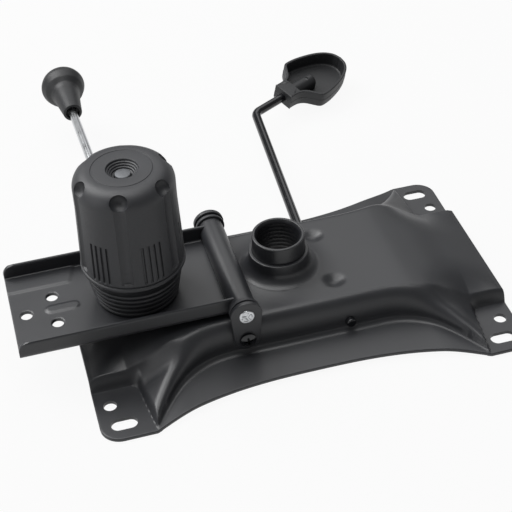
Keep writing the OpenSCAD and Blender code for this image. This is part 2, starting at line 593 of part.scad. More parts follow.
// Knob: a thick shell with a hub that holds the nut
knob_rim_z = knob_z - knob_h;
hub_z = seat_under + washer_t + 0.05;
nut_h = bolt_d * 0.8;
nut_z = hub_z + 6;
knob_side = (knob_d - knob_top_d) / 2;
knob_flank_top = 24;
knob_flank_low = 4;
knob_wall = 2.8;
function knob_r(z) = knob_top_d / 2 + (knob_side - 0.5) * clamp01((knob_z - knob_flank_top - z) / (knob_h - knob_flank_top - knob_flank_low));
mouth_r = knob_d / 2 - 2.4;
throat_r = knob_top_d / 2 - knob_wall;
mouth_in = knob_r(knob_rim_z + 14) - 1.56;
module knob_cap() {
  r = knob_top_d / 2;
  color(black_plastic) translate([bolt_x, 0, 0]) difference() {
    rotate_extrude() difference() {
      union() {
        polygon([[0, knob_rim_z], [knob_d / 2 - 0.5, knob_rim_z], [knob_d / 2, knob_rim_z + 0.6], [knob_d / 2, knob_rim_z + 3],
          [knob_r(knob_rim_z + knob_flank_low), knob_rim_z + knob_flank_low], [r, knob_z - knob_flank_top], [r, knob_z - knob_shoulder], [0, knob_z - knob_shoulder]]);
        translate([0, knob_z - knob_shoulder - eps]) square([r - knob_shoulder, knob_shoulder + eps]);
        intersection() {
          translate([r - knob_shoulder, knob_z - knob_shoulder]) circle(r = knob_shoulder);
          translate([0, knob_z - 30]) square([r + 1, 40]);
        }
      }
      polygon([[hub_r, knob_rim_z - 1], [mouth_r, knob_rim_z - 1], [mouth_in, knob_rim_z + 14], [throat_r, knob_rim_z + 18],
        [throat_r, knob_z - knob_shoulder - 1], [throat_r - 5.6, knob_z - 4], [hub_r, knob_z - 4]]);
      translate([-1, knob_rim_z - 1]) square([hub_r + 1.01, hub_z - knob_rim_z + 1]);
      translate([r - 12.6, knob_z - 0.35]) square([0.7, 1]);
    }
    translate([0, 0, hub_z - 1]) cylinder(d = bolt_d + 0.6, h = 40);
    translate([0, 0, nut_z]) cylinder(d = bolt_d * 1.96, h = nut_h + 0.1, $fn = 6);
    translate([0, 0, nut_z + nut_h]) cylinder(r = 8, h = 40);
    translate([0, 0, knob_z - 3.2]) cylinder(r = 10, h = 10);
    for (i = [0 : scallops - 1]) rotate([0, 0, -106 + i * 360 / scallops]) {
      translate([r + 1.2, 0, knob_z - 3.4]) sphere(r = scallop_r);
      translate([knob_r(knob_rim_z + 5) - groove_deep, -groove_w / 2, knob_rim_z + 5.6]) rotate([0, groove_lean, 0]) cube([6, groove_w, knob_h - 16]);
      for (k = [0 : slits - 1]) rotate([0, 0, 180 / scallops + (k - (slits - 1) / 2) * 6.8])
        translate([knob_r(knob_rim_z + 5.2) - 0.7, -slit_w / 2, knob_rim_z + 5.2]) rotate([0, groove_lean, 0]) cube([4, slit_w, slit_l]);
    }
  }
}
groove_lean = -atan((knob_side - 0.5) / (knob_h - 28));
module knob_nut() {
  color(grey_steel) translate([bolt_x, 0, nut_z + 0.05]) difference() {
    cylinder(d = bolt_d * 1.88, h = nut_h - 0.1, $fn = 6);
    translate([0, 0, -1]) cylinder(d = bolt_d + 2 * run_gap, h = nut_h + 2);
  }
}

// Things on the lock rod's line are drawn along Y from the tab and turned to the splay
module on_lock() { translate([lock_x, tab_y, lock_z]) rotate([0, 0, lock_splay]) children(); }
lock_end = 4.2;
guide_y = flange_in - tab_y;
module lock_guide() {
  color(black_plastic) on_lock() difference() {
    union() {
      tube_y(lock_d + 1, guide_y - 0.4, guide_y + channel_t + 1);
      tube_y(lock_d + 1.6, guide_y + channel_t + 0.4, guide_y + channel_t + 5);
    }
    tube_y(lock_d - 0.6 + 2 * run_gap, guide_y - 5, guide_y + 20);
  }
}
rod_end = lock_reach - tab_y - 8;
module lock_rod() {
  color(bright_steel) on_lock() {
    tube_y(lock_d - 0.6, lock_end, rod_end);
  }
}
module lock_clip() {
  color(grey_steel) on_lock() difference() {
    tube_y(lock_d + 4, guide_y + channel_t + 5 + lock_travel + 0.4, guide_y + channel_t + 7 + lock_travel + 0.4);
    tube_y(lock_d - 0.58, 0, 40);
  }
}
neck_l = 26;
module lock_knob() {
  r = lock_knob_d / 2;
  e = lock_reach - tab_y;
  color(black_plastic) on_lock() translate([0, e, 0]) rotate([90, 0, 0]) difference() {
    rotate_extrude() union() {
      polygon([[0, 16], [10.8, 16], [7.3, 18 + neck_l + 4], [0, 18 + neck_l + 4]]);
      intersection() {
        translate([0, 0]) square([r + 1, 20]);
        translate([r - 9.5, 9.5]) circle(r = 9.5);
      }
      polygon([[0, 0], [r - 9.5, 0], [r - 9.5, 19], [10, 20.5], [0, 20.5]]);
    }
    translate([0, 0, 8]) cylinder(d = lock_d - 0.56, h = 60);
    translate([0, 0, 18 + neck_l - 2]) cylinder(d = lock_d + 3, h = 10);
  }
}

// Gas lever: the shaft turns in the plate's walls, the rod runs out to a bend and the paddle
gas_kink = crown_half + 7;
kink_x = gas_x - gas_kink * sin(gas_skew);
kink_y = gas_kink * cos(gas_skew);
long_l = sqrt(pow((gas_bend_y - kink_y) / cos(gas_splay), 2) + gas_rise * gas_rise);
leg_rise = asin(gas_rise / long_l);
bend_in = 9;
turn_angle = paddle_turn - gas_splay;
bend_off = bend_in * tan(turn_angle / 2);
neck_from = 31;
boss_end = neck_from + 35;
module on_shaft() { translate([gas_x, 0, gas_z]) rotate([0, 0, gas_skew]) children(); }
module on_long() { translate([kink_x, kink_y, gas_z]) rotate([0, 0, -gas_splay]) rotate([leg_rise, 0, 0]) children(); }
module on_short() {
  translate([kink_x + (gas_bend_y - kink_y) * tan(gas_splay), gas_bend_y, gas_z + gas_rise])
    rotate([0, 0, -paddle_turn]) rotate([0, paddle_roll, 0]) children();
}
module gas_rod() {
  color(black_steel) {
    on_shaft() tube_y(gas_shaft_d, -crown_half - shaft_out, gas_kink + 1.2);
    on_long() tube_y(gas_d, -0.6, long_l - bend_off + 0.8);
    on_long() translate([bend_in, long_l - bend_off, 0]) rotate([0, 0, 180 - turn_angle])
      rotate_extrude(angle = turn_angle) translate([bend_in, 0]) circle(d = gas_d + 0.2);
    on_short() tube_y(gas_d, bend_off - 0.8, boss_end - 4);
  }
}
shaft_out = 3.4;
crank_half = 6;
module button_crank() {
  color(grey_steel) on_shaft() translate([0, crank_half, 0]) rotate([90, 0, 0]) difference() {
    linear_extrude(2 * crank_half) {
      circle(d = gas_shaft_d + 6);
      polygon([[-3.4, -3], [brace_x1 - 0.6 - gas_x, brace_z - 1.2 - gas_z], [socket_r - gas_x, brace_z - 2.6 - gas_z],
        [-5 - gas_x, brace_z - 4.5 - gas_z], [-6 - gas_x, brace_z - 5.5 - gas_z], [-6 - gas_x, brace_z - 7.6 - gas_z],
        [socket_r + 5 - gas_x, brace_z - 6.6 - gas_z], [3, -5.6]]);
    }
    translate([0, 0, -1]) cylinder(d = gas_shaft_d + 0.04, h = 2 * crank_half + 2);
  }
}

// Paddle outline: half-widths as shares of the width along its length, smoothed between the stations
paddle_at = [0, 0.1, 0.17, 0.23, 0.29, 0.335, 0.39, 0.51, 0.65, 0.77, 0.86, 0.93, 0.98, 1];
paddle_wd = [0.39, 0.39, 0.43, 0.55, 0.79, 0.95, 1, 0.975, 0.885, 0.77, 0.64, 0.48, 0.27, 0];
function cr(p, i, t) = let(n = len(p) - 1, a = p[max(0, i - 1)], b = p[i], c = p[min(n, i + 1)], d = p[min(n, i + 2)])
  0.5 * (2 * b + (c - a) * t + (2 * a - 5 * b + 4 * c - d) * t * t + (3 * b - a - 3 * c + d) * t * t * t);
half_pts = [for (i = [0 : len(paddle_at) - 2]) for (t = [0, 0.34, 0.67]) [cr(paddle_wd, i, t) * paddle_w / 2, neck_from + cr(paddle_at, i, t) * paddle_l]];
paddle_pts = concat(half_pts, [[0, neck_from + paddle_l]], [for (i = [len(half_pts) - 1 : -1 : 0]) [-half_pts[i][0], half_pts[i][1]]]);
function unit(v) = v / norm(v);
inner_half = [for (i = [6 : len(half_pts) - 1]) let(a = half_pts[i - 1], b = i + 1 < len(half_pts) ? half_pts[i + 1] : [0, neck_from + paddle_l], d = unit(b - a))
  half_pts[i] + paddle_wall * [-d[1], d[0]] * (d[1] < 0 ? -1 : 1)];
inner_ok = [for (p = inner_half) if (p[0] > 0.4 && p[1] < neck_from + paddle_l - paddle_wall) p];
inner_pts = concat(inner_ok, [[0, neck_from + paddle_l - paddle_wall]],
  [for (i = [len(inner_ok) - 1 : -1 : 0]) [-inner_ok[i][0], inner_ok[i][1]]]);
paddle_floor = 2.6;
boss_r = gas_d / 2 + 2.4;
module gas_paddle() {
  color(black_plastic) on_short() difference() {
    union() {
      difference() {
        translate([0, 0, -paddle_h / 2]) linear_extrude(paddle_h) polygon(paddle_pts);
        translate([0, 0, -paddle_h / 2 + paddle_floor]) linear_extrude(paddle_h) polygon(inner_pts);
      }
      tube_y(2 * boss_r, neck_from + 9, boss_end);
      translate([-boss_r, neck_from + 9, -paddle_h / 2 + 0.5]) cube([2 * boss_r, boss_end - neck_from - 9, paddle_h / 2]);
    }
    tube_y(gas_d + 0.04, neck_from - 5, boss_end - 3.6);
    translate([-5, neck_from - 1, -4.2]) cube([10, 4.5, 8.4]);
    translate([0, boss_end - 8, 0]) cylinder(d = 3.2, h = 20);
  }
}
module paddle_screw() {
  color(grey_steel) on_short() translate([0, boss_end - 8, gas_d / 2 + 0.05]) cylinder(d = 3.1, h = boss_r - gas_d / 2 - 0.6);
}

seat_plate();
gas_socket();
inner_brace();
lug_near();
lug_far();
lug_screw_near();
lug_screw_far();
lug_nuts();
hinge_axle();
bolt_saddle();
lock_tab();
rest_pad();
gas_bush();
back_channel();
hinge_tube();
hinge_bush_near();
hinge_bush_far();
spring_cup();
tension_spring();
tension_bolt();
rocker_washer();
thrust_washer();
knob_cap();
knob_nut();
lock_guide();
lock_rod();
lock_clip();
lock_knob();
gas_rod();
button_crank();
gas_paddle();
paddle_screw();
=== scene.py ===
"""Finished look of an office chair's push back mechanism, built over the packed frame.

Lengths inside the shape functions are in millimetres in the frame's own axes; make_piece turns them into
metres.
"""

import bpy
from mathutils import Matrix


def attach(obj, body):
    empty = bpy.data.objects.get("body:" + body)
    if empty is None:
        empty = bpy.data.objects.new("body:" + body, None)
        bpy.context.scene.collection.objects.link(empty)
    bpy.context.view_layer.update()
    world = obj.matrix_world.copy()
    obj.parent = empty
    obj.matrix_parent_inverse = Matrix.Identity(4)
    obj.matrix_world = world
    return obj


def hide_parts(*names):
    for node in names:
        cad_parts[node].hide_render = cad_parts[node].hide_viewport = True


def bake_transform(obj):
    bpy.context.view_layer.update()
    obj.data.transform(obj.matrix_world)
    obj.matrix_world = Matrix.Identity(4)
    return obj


bl_info = {
    "name": "Push back mechanism finish",
    "version": (1, 0, 0),
    "blender": (4, 5, 0),
    "location": "3D View > Sidebar > Mechanism",
    "description": "Builds a chair mechanism's plate, hinge, spring knob, lock and lever over its frame",
    "category": "Object",
}

from types import SimpleNamespace

import bmesh
import bpy
import numpy as np
from bpy.props import FloatProperty, FloatVectorProperty, IntProperty, PointerProperty
from bpy.types import Operator, Panel, PropertyGroup
from mathutils import Vector

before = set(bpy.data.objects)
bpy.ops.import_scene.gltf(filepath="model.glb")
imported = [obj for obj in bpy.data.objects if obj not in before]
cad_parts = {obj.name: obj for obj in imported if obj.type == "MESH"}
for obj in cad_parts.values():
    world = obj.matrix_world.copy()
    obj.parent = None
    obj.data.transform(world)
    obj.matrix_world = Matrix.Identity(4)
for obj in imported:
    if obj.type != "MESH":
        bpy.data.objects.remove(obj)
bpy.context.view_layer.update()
MM = 0.001
TAU = 2 * np.pi


# Numbers and shapes


def linear(code):
    """Linear colour of an sRGB hex code."""
    c = np.array([int(code[i : i + 2], 16) for i in (1, 3, 5)]) / 255
    return tuple(np.where(c <= 0.04045, c / 12.92, ((c + 0.055) / 1.055) ** 2.4))


def share(t):
    """t held between 0 and 1."""
    return np.clip(t, 0, 1)


def soft(t):
    """Smooth step: 3 t^2 - 2 t^3 between 0 and 1."""
    t = share(t)
    return t * t * (3 - 2 * t)


def soft_min(a, b, k):
    """The lesser of a and b, rounded over a width k where they meet."""
    h = np.maximum(k - np.abs(a - b), 0) / k
    return np.minimum(a, b) - h * h * k / 4


def soft_max(a, b, k):
    """The greater of a and b, rounded over a width k where they meet."""
    return -soft_min(-a, -b, k)


def stations(*parts):
    """One rising row of numbers out of (start, end, count) runs; only the last run keeps its last number."""
    runs = [np.linspace(a, b, n, endpoint=False) for a, b, n in parts]
    return np.concatenate(runs + [[parts[-1][1]]])


def around(steps):
    """Angles once round, without the last."""
    return np.linspace(0, TAU, steps, endpoint=False)


def quarter(radius, steps=5):
    """A quarter round: its distances r (1 - sin q) and r (1 - cos q) from the two faces that it joins."""
    q = np.linspace(0, np.pi / 2, steps)
    return radius * (1 - np.sin(q)), radius * (1 - np.cos(q))


def rounded(points, radii, steps=6, closed=False):
    """A line through 2-D or 3-D points whose corners are arcs: each corner of radius r is cut
    r / tan(half its angle) before and after, and the arc goes round the centre on the bisector."""
    p = np.array(points, float)
    out = []
    count = len(p)
    for i in range(count):
        r = radii[i] if np.ndim(radii) else radii
        if (not closed and i in (0, count - 1)) or r <= 0:
            out.append(p[i][None])
            continue
        a, b, c = p[i - 1], p[i], p[(i + 1) % count]
        u, v = (a - b) / np.linalg.norm(a - b), (c - b) / np.linalg.norm(c - b)
        half = np.arccos(np.clip(u @ v, -1, 1)) / 2
        if half > np.pi / 2 - 1e-4:
            out.append(b[None])
            continue
        mid = (u + v) / np.linalg.norm(u + v)
        centre = b + mid * r / np.sin(half)
        e = -mid
        f = (v - (v @ e) * e) / np.linalg.norm(v - (v @ e) * e)
        t = np.linspace(-(np.pi / 2 - half), np.pi / 2 - half, steps + 1)[:, None]
        out.append(centre + r * (np.cos(t) * e + np.sin(t) * f))
    return np.concatenate(out)


def skin(rows, wrap=True, fans=False, loop=False):
    """A surface on a grid of points rows[i, j]: four neighbours make a face. wrap joins the last column to
    the first, loop the last row to the first, and fans closes both end rows round their points' mean."""
    n, m = rows.shape[:2]
    j = np.arange(m if wrap else m - 1)
    i = np.arange(n if loop else n - 1)[:, None]
    a, b = i * m, ((i + 1) % n) * m
    k = (j + 1) % m
    faces = np.stack([a + j, a + k, b + k, b + j], -1).reshape(-1, 4).tolist()
    points = rows.reshape(-1, 3)
    ends = ((0, -1), ((n - 1) * m, 1)) if fans else ()
    for first, turn in ends:
        tip = np.full(len(j), len(points))
        points = np.vstack([points, points[first : first + m].mean(0)])
        faces += np.stack([first + j, first + k, tip], -1)[:, ::turn].tolist()
    return points, faces


def sheet_shell(upper, lower):
    """Closed shell of a sheet: two grids of the same size, and strips along their four edges."""
    n, m = upper.shape[:2]
    a, faces = skin(upper, wrap=False)
    b, under = skin(lower, wrap=False)
    size = n * m
    faces += [[q + size for q in face[::-1]] for face in under]
    index = np.arange(size).reshape(n, m)
    for edge in (index[0, ::-1], index[-1], index[:, 0], index[::-1, -1]):
        faces += np.stack([edge[:-1], edge[1:], edge[1:] + size, edge[:-1] + size], -1).tolist()
    return np.vstack([a, b]), faces


def turned(profile, steps=96, loop=False, height=None):
    """A profile of (radius, height) turned round the Z axis: x = r cos t, y = r sin t. height(r, t, z) is
    added to each point's height."""
    p = np.array(profile, float)
    t = around(steps)
    r, z = p[:, 0, None] + 0 * t, p[:, 1, None] + 0 * t
    if height is not None:
        z = z + height(r, t[None] + 0 * r, z)
    return skin(np.stack([r * np.cos(t), r * np.sin(t), z], -1), loop=loop)


def drill(radius, start, end, steps=40):
    """A closed rod round the Z axis from start to end, used as a cutter."""
    return turned([(0, start), (radius, start), (radius, end), (0, end)], steps)


def laid(shell, origin, along, across=(1, 0, 0)):
    """A shell drawn round the Z axis, moved to origin with its Z turned to the direction along and its X
    near across."""
    points, faces = shell
    z = np.array(along, float) / np.linalg.norm(along)
    x = np.array(across, float) - (np.array(across, float) @ z) * z
    x /= np.linalg.norm(x)
    return points @ np.stack([x, np.cross(z, x), z]) + np.array(origin, float), faces


def swept(path, radius, sides):
    """A round section carried along a path: each ring lies in the plane across the path's own direction."""
    along = np.gradient(path, axis=0)
    along /= np.linalg.norm(along, axis=1)[:, None]
    side = np.cross(along, (0.0, 0.0, 1.0))
    side /= np.linalg.norm(side, axis=1)[:, None]
    over = np.cross(side, along)
    t = around(sides)
    ring = np.cos(t)[None, :, None] * side[:, None] + np.sin(t)[None, :, None] * over[:, None]
    return skin(path[:, None] + radius[:, None, None] * ring, fans=True)


def level(outline, z):
    """A 2-D outline as points at height z."""
    return np.column_stack([outline, np.full(len(outline), z)])


def upright(outline, y):
    """A 2-D outline of (x, z) as points at y."""
    return np.column_stack([outline[:, 0], np.full(len(outline), y), outline[:, 1]])


def prism(outline, z0, z1):
    """Closed upright prism over a 2-D outline, used as a cutter."""
    o = np.array(outline, float)
    return skin(np.stack([level(o, z0), level(o, z1)]), fans=True)


def circle(radius, steps, x=0.0, y=0.0):
    """Outline of a round hole: (x + r cos t, y + r sin t)."""
    t = around(steps)
    return np.column_stack([x + radius * np.cos(t), y + radius * np.sin(t)])


def oblong(x, y, length, width, steps=24):
    """Outline of a slot along X: two half rounds and two straight sides."""
    t = np.linspace(-np.pi / 2, 3 * np.pi / 2, 2 * steps, endpoint=False)
    shift = np.where(np.arange(2 * steps) < steps, 1, -1) * (length - width) / 2
    return np.column_stack([x + shift + width / 2 * np.cos(t), y + width / 2 * np.sin(t)])


# Pieces


def make_piece(name, shell):
    """An object of one closed shell given in millimetres, with doubles merged and faces turned outward."""
    points, faces = shell
    mesh = bpy.data.meshes.new(name)
    mesh.from_pydata((points * MM).tolist(), [], faces)
    bm = bmesh.new()
    bm.from_mesh(mesh)
    bmesh.ops.remove_doubles(bm, verts=bm.verts, dist=2e-6)
    bmesh.ops.dissolve_degenerate(bm, edges=bm.edges, dist=1e-6)
    bmesh.ops.recalc_face_normals(bm, faces=bm.faces)
    bm.to_mesh(mesh)
    bm.free()
    piece = bpy.data.objects.new(name, mesh)
    bpy.context.scene.collection.objects.link(piece)
    return piece


def cut_away(piece, shell):
    """Takes a closed cutter shell away from a piece, and keeps the evaluated mesh."""
    tool = make_piece("cutter", shell)
    cut = piece.modifiers.new("cut", "BOOLEAN")
    cut.object, cut.operation, cut.solver = tool, "DIFFERENCE", "MANIFOLD"
    bpy.context.view_layer.update()
    evaluated = piece.evaluated_get(bpy.context.evaluated_depsgraph_get())
    result = bpy.data.meshes.new_from_object(evaluated)
    if len(result.polygons) == 0:
        raise RuntimeError(f"cutting {piece.name} left nothing")
    piece.modifiers.clear()
    piece.data = result
    bpy.data.objects.remove(tool)


def put_mesh(name, shell, body, slot, finish, stands_for=(), crease=40, cutters=()):
    """Makes one finished piece: cutters are taken away, edges sharper than crease degrees stay sharp, and the
    piece rides its body and stands for its CAD nodes."""
    piece = make_piece(name, shell)
    for cutter in cutters:
        cut_away(piece, cutter)
    piece.data.shade_smooth()
    piece.data.set_sharp_from_angle(angle=np.radians(crease))
    piece.data.materials.clear()
    piece.data.materials.append(finish_of(finish))
    if body is not None:
        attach(piece, body)
    if stands_for:
        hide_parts(*stands_for)
    return piece


# Finishes


def add(tree, kind, values=None, links=None, **settings):
    """Adds a shader node, sets its settings and its unlinked inputs, and links inputs from other outputs."""
    node = tree.nodes.new("ShaderNode" + kind)
    for key, value in settings.items():
        setattr(node, key, value)
    for key, value in (values or {}).items():
        node.inputs[key].default_value = value
    for key, source in (links or {}).items():
        tree.links.new(source, node.inputs[key])
    return node


def blank(owner):
    """The emptied node tree of a material or a world."""
    owner.use_nodes = True
    owner.node_tree.nodes.clear()
    return owner.node_tree


def drifting(tree, place, colour, size, spread):
    """A colour that drifts by a small share over patches of size millimetres, and the noise behind it."""
    drift = add(tree, "TexNoise", {"Scale": 1000 / size, "Detail": 3.0}, {"Vector": place}).outputs["Fac"]
    ramp = add(tree, "ValToRGB", links={"Fac": drift})
    for stop, at, side in zip(ramp.color_ramp.elements, (0.3, 0.7), (-1, 1)):
        stop.position = at
        stop.color = (*(np.array(colour) * (1 + side * spread)), 1)
    return ramp.outputs["Color"], drift


# The run of a noise's values that is spread over a finish's roughness
NOISE_RUN = {"From Min": 0.3, "From Max": 0.7}
# A wave texture's bands lie 0.314 apart at scale 1. Real turning marks, 0.4 mm apart, are too fine to show in
# the render, so the socket's rings are drawn 2.5133 mm apart
BAND_GAP, RING_GAP = 0.314, 0.0025133


def powder_coat(tree, place, colour):
    """Satin polyester powder coat, sprayed and baked on pressed steel."""
    # the eye sees a deep grey black with wide soft highlights and a faint orange peel
    tone, drift = drifting(tree, place, colour, 38, 0.10)
    rough = add(tree, "MapRange", {**NOISE_RUN, "To Min": 0.40, "To Max": 0.47}, {"Value": drift})
    # orange peel waves of a real coat are 1 to 2 mm apart and 0.01 mm high
    peel = add(tree, "TexNoise", {"Scale": 1000 / 1.5, "Detail": 2.0}, {"Vector": place})
    bump = add(tree, "Bump", {"Strength": 0.22, "Distance": 0.06 * MM}, {"Height": peel.outputs["Fac"]})
    values = {"IOR": 1.5, "Coat Weight": 0.12, "Coat Roughness": 0.28}
    links = {"Base Color": tone, "Roughness": rough.outputs["Result"], "Normal": bump.outputs["Normal"]}
    return add(tree, "BsdfPrincipled", values, links)


def tube_coat(tree, place, colour):
    """Powder coat over a turned steel tube: the tool's rings still show through the thin coat."""
    # the eye sees a slightly darker black than the plate's, whose highlight breaks into faint rings
    tone, drift = drifting(tree, place, colour, 22, 0.08)
    rough = add(tree, "MapRange", {**NOISE_RUN, "To Min": 0.36, "To Max": 0.44}, {"Value": drift})
    values = {"Scale": BAND_GAP / RING_GAP, "Distortion": 0.4}
    rings = add(tree, "TexWave", values, {"Vector": place}, wave_type="BANDS", bands_direction="Z")
    bump = add(tree, "Bump", {"Strength": 0.12, "Distance": 0.03 * MM}, {"Height": rings.outputs["Fac"]})
    values = {"IOR": 1.5, "Coat Weight": 0.15, "Coat Roughness": 0.25}
    links = {"Base Color": tone, "Roughness": rough.outputs["Result"], "Normal": bump.outputs["Normal"]}
    return add(tree, "BsdfPrincipled", values, links)


def black_zinc(tree, place, colour):
    """Black passivated zinc on the screws and on the gas lever's rod."""
    # the eye sees a near black, rather glossy surface whose tone drifts a little
    tone, drift = drifting(tree, place, colour, 6, 0.18)
    rough = add(tree, "MapRange", {**NOISE_RUN, "To Min": 0.15, "To Max": 0.24}, {"Value": drift})
    values = {"Metallic": 0.35, "Coat Weight": 0.3, "Coat Roughness": 0.12}
    return add(tree, "BsdfPrincipled", values, {"Base Color": tone, "Roughness": rough.outputs["Result"]})


def bright_zinc(tree, place, colour):
    """Bright zinc plate on drawn steel rod and cold formed heads."""
    # the eye sees a pale cool metal with a soft, lengthwise streaked gloss
    tone, drift = drifting(tree, place, colour, 9, 0.07)
    rough = add(tree, "MapRange", {**NOISE_RUN, "To Min": 0.24, "To Max": 0.36}, {"Value": drift})
    # drawing lines run along the rod, about 0.3 mm apart
    along = add(tree, "Mapping", {"Scale": (1.0, 0.04, 1.0)}, {"Vector": place}).outputs["Vector"]
    lines = add(tree, "TexNoise", {"Scale": 1000 / 0.3, "Detail": 2.0}, {"Vector": along})
    bump = add(tree, "Bump", {"Strength": 0.03, "Distance": 0.02 * MM}, {"Height": lines.outputs["Fac"]})
    links = {"Base Color": tone, "Roughness": rough.outputs["Result"], "Normal": bump.outputs["Normal"]}
    return add(tree, "BsdfPrincipled", {"Metallic": 1.0}, links)


def oiled_steel(tree, place, colour):
    """Uncoated steel of the cut bolt, greyed by oil."""
    # the eye sees a flat mid grey end face with hardly any gloss
    tone, drift = drifting(tree, place, colour, 3, 0.08)
    rough = add(tree, "MapRange", {**NOISE_RUN, "To Min": 0.5, "To Max": 0.6}, {"Value": drift})
    links = {"Base Color": tone, "Roughness": rough.outputs["Result"]}
    return add(tree, "BsdfPrincipled", {"Metallic": 0.5}, links)


def spring_wire(tree, place, colour):
    """Oil hardened spring wire."""
    # the eye sees a dark blue grey metal with a thin oily gloss
    tone, drift = drifting(tree, place, colour, 7, 0.2)
    rough = add(tree, "MapRange", {**NOISE_RUN, "To Min": 0.28, "To Max": 0.42}, {"Value": drift})
    values = {"Metallic": 0.9, "Coat Weight": 0.15, "Coat Roughness": 0.1}
    return add(tree, "BsdfPrincipled", values, {"Base Color": tone, "Roughness": rough.outputs["Result"]})


def moulded_plastic(tree, place, colour):
    """Polypropylene moulded in a spark eroded tool."""
    # the eye sees a matt charcoal black with a fine even grain that greys the highlights
    tone, _ = drifting(tree, place, colour, 26, 0.07)
    # spark grain is 0.1 to 0.2 mm; drawn 0.55 mm so that it shows in the render
    values = {"Scale": 1000 / 0.55, "Detail": 3.0, "Roughness": 0.6}
    grain = add(tree, "TexNoise", values, {"Vector": place}).outputs["Fac"]
    bump = add(tree, "Bump", {"Strength": 0.35, "Distance": 0.06 * MM}, {"Height": grain})
    values = {"From Min": 0.35, "From Max": 0.65, "To Min": 0.46, "To Max": 0.56}
    rough = add(tree, "MapRange", values, {"Value": grain})
    links = {"Base Color": tone, "Roughness": rough.outputs["Result"], "Normal": bump.outputs["Normal"]}
    return add(tree, "BsdfPrincipled", {"IOR": 1.49}, links)


def lever_plastic(tree, place, colour):
    """The same plastic, painted a deeper black on the two levers' grips: painted shade that stands in for
    less light on them.
    """
    # the eye sees a darker, otherwise equal grain; the darker tone is painted shade
    return moulded_plastic(tree, place, colour)


# Each finish by its colour's name, with its material's name
FINISHES = {
    "powder_coat": ("powder_coat_satin_black", powder_coat),
    "tube_coat": ("powder_coat_on_turned_tube", tube_coat),
    "black_zinc": ("black_passivated_zinc", black_zinc),
    "bright_zinc": ("bright_zinc_plate", bright_zinc),
    "oiled_steel": ("oiled_steel", oiled_steel),
    "spring_wire": ("oil_hardened_spring_wire", spring_wire),
    "moulded_plastic": ("spark_textured_polypropylene", moulded_plastic),
    # the lever plastic is the same plastic with painted shade, a darker tone for less light
    "lever_plastic": ("spark_textured_plastic_painted_shade", lever_plastic),
}
MADE = {}


def finish_of(name):
    """The finish of that name on object coordinates, made once in the colour that the user set."""
    if name not in MADE:
        title, build = FINISHES[name]
        material = bpy.data.materials.new(title)
        tree = blank(material)
        place = add(tree, "TexCoord").outputs["Object"]
        shader = build(tree, place, getattr(bpy.context.scene.mech_colours, name))
        add(tree, "OutputMaterial", links={"Surface": shader.outputs[0]})
        MADE[name] = material
    return MADE[name]


# Sizes and colours


def length(label, about, value):
    """A length property in metres, from a value in millimetres."""
    look = {"min": 0.0, "unit": "LENGTH", "subtype": "DISTANCE", "precision": 4}
    return FloatProperty(name=label, description=about, default=value * MM, **look)


def tint(label, about, code):
    """A colour property from a hex code."""
    look = {"min": 0.0, "max": 1.0, "size": 3, "subtype": "COLOR"}
    return FloatVectorProperty(name=label, description=about, default=linear(code), **look)


def count(kind, label, about, value):
    """A property of a number between 3 and 9."""
    return kind(name=label, description=about, default=value, min=3, max=9)


class PlateSizes(PropertyGroup):
    """Sizes of the pressed seat plate and its socket."""

    plate_l: length("Length", "Length of the seat plate from front to rear", 284.4)
    plate_w: length("Width", "Width of the seat plate over its four pads", 186.4)
    plate_x: length("Middle", "How far the plate's middle lies ahead of the socket", 2.0)
    sheet_t: length("Sheet", "Thickness of the pressed sheet", 2.5)
    crown_h: length("Crown height", "Height of the flat crown above the seat", 32.0)
    crown_w: length("Crown width", "Width of the crown between its walls", 95.2)
    crown_x: length("Crown middle", "How far the crown's middle lies ahead of the socket", 5.0)
    end_h: length("End height", "Height of the crown at the plate's two ends", 11.0)
    corner_h: length("Corner height", "Height of the crown's corners beside the pads", 12.5)
    waist_h: length("Waist height", "Height of the side shelf at the waist", 5.7)
    waist_w: length("Waist width", "Width of the plate at its waist", 148.0)
    hole_d: length("Seat holes", "Diameter of the round seat holes", 8.6)
    slot_d: length("Slot width", "Width of the seat slots", 9.6)
    slot_l: length("Slot length", "Length of the seat slots", 17.0)
    collar_h: length("Collar", "Height of the drawn collar above the crown", 16.1)
    socket_od: length("Socket outside", "Outside diameter of the gas lift socket", 35.0)
    socket_bore: length("Socket bore", "Bore of the gas lift socket at its top", 28.6)
    socket_top: length("Socket top", "Height of the socket's rim above the seat", 60.4)
    dent: length("Dent depth", "Depth of the two pressed dents ahead of the socket", 2.8)


class BackSizes(PropertyGroup):
    """Sizes of the hinge and of the channel that carries the backrest."""

    hinge_back: length("Hinge behind", "Distance of the hinge behind the socket", 36.0)
    hinge_z: length("Hinge height", "Height of the hinge axis above the seat", 41.0)
    axle_d: length("Axle", "Diameter of the hinge axle", 10.0)
    tube_od: length("Tube", "Outside diameter of the hinge tube", 17.0)
    flange_d: length("Bush flange", "Diameter of the bush flanges beside the lugs", 20.0)
    lug_w: length("Lug width", "Width of the side lugs", 21.0)
    lug_t: length("Lug sheet", "Thickness of the side lugs", 3.0)
    screw_z: length("Lug screw", "Height of the lug screws above the seat", 21.5)
    channel_l: length("Channel", "Length of the channel behind the hinge", 143.0)
    channel_w: length("Channel width", "Width over the channel's flanges", 79.4)
    channel_t: length("Channel sheet", "Thickness of the channel's sheet", 2.5)
    channel_h: length("Flange height", "Height of the channel over its flanges", 13.2)
    channel_z: length("Channel underside", "Height of the channel's underside above the seat", 34.7)
    back_hole: length("Backrest holes", "Diameter of the three backrest holes", 7.8)


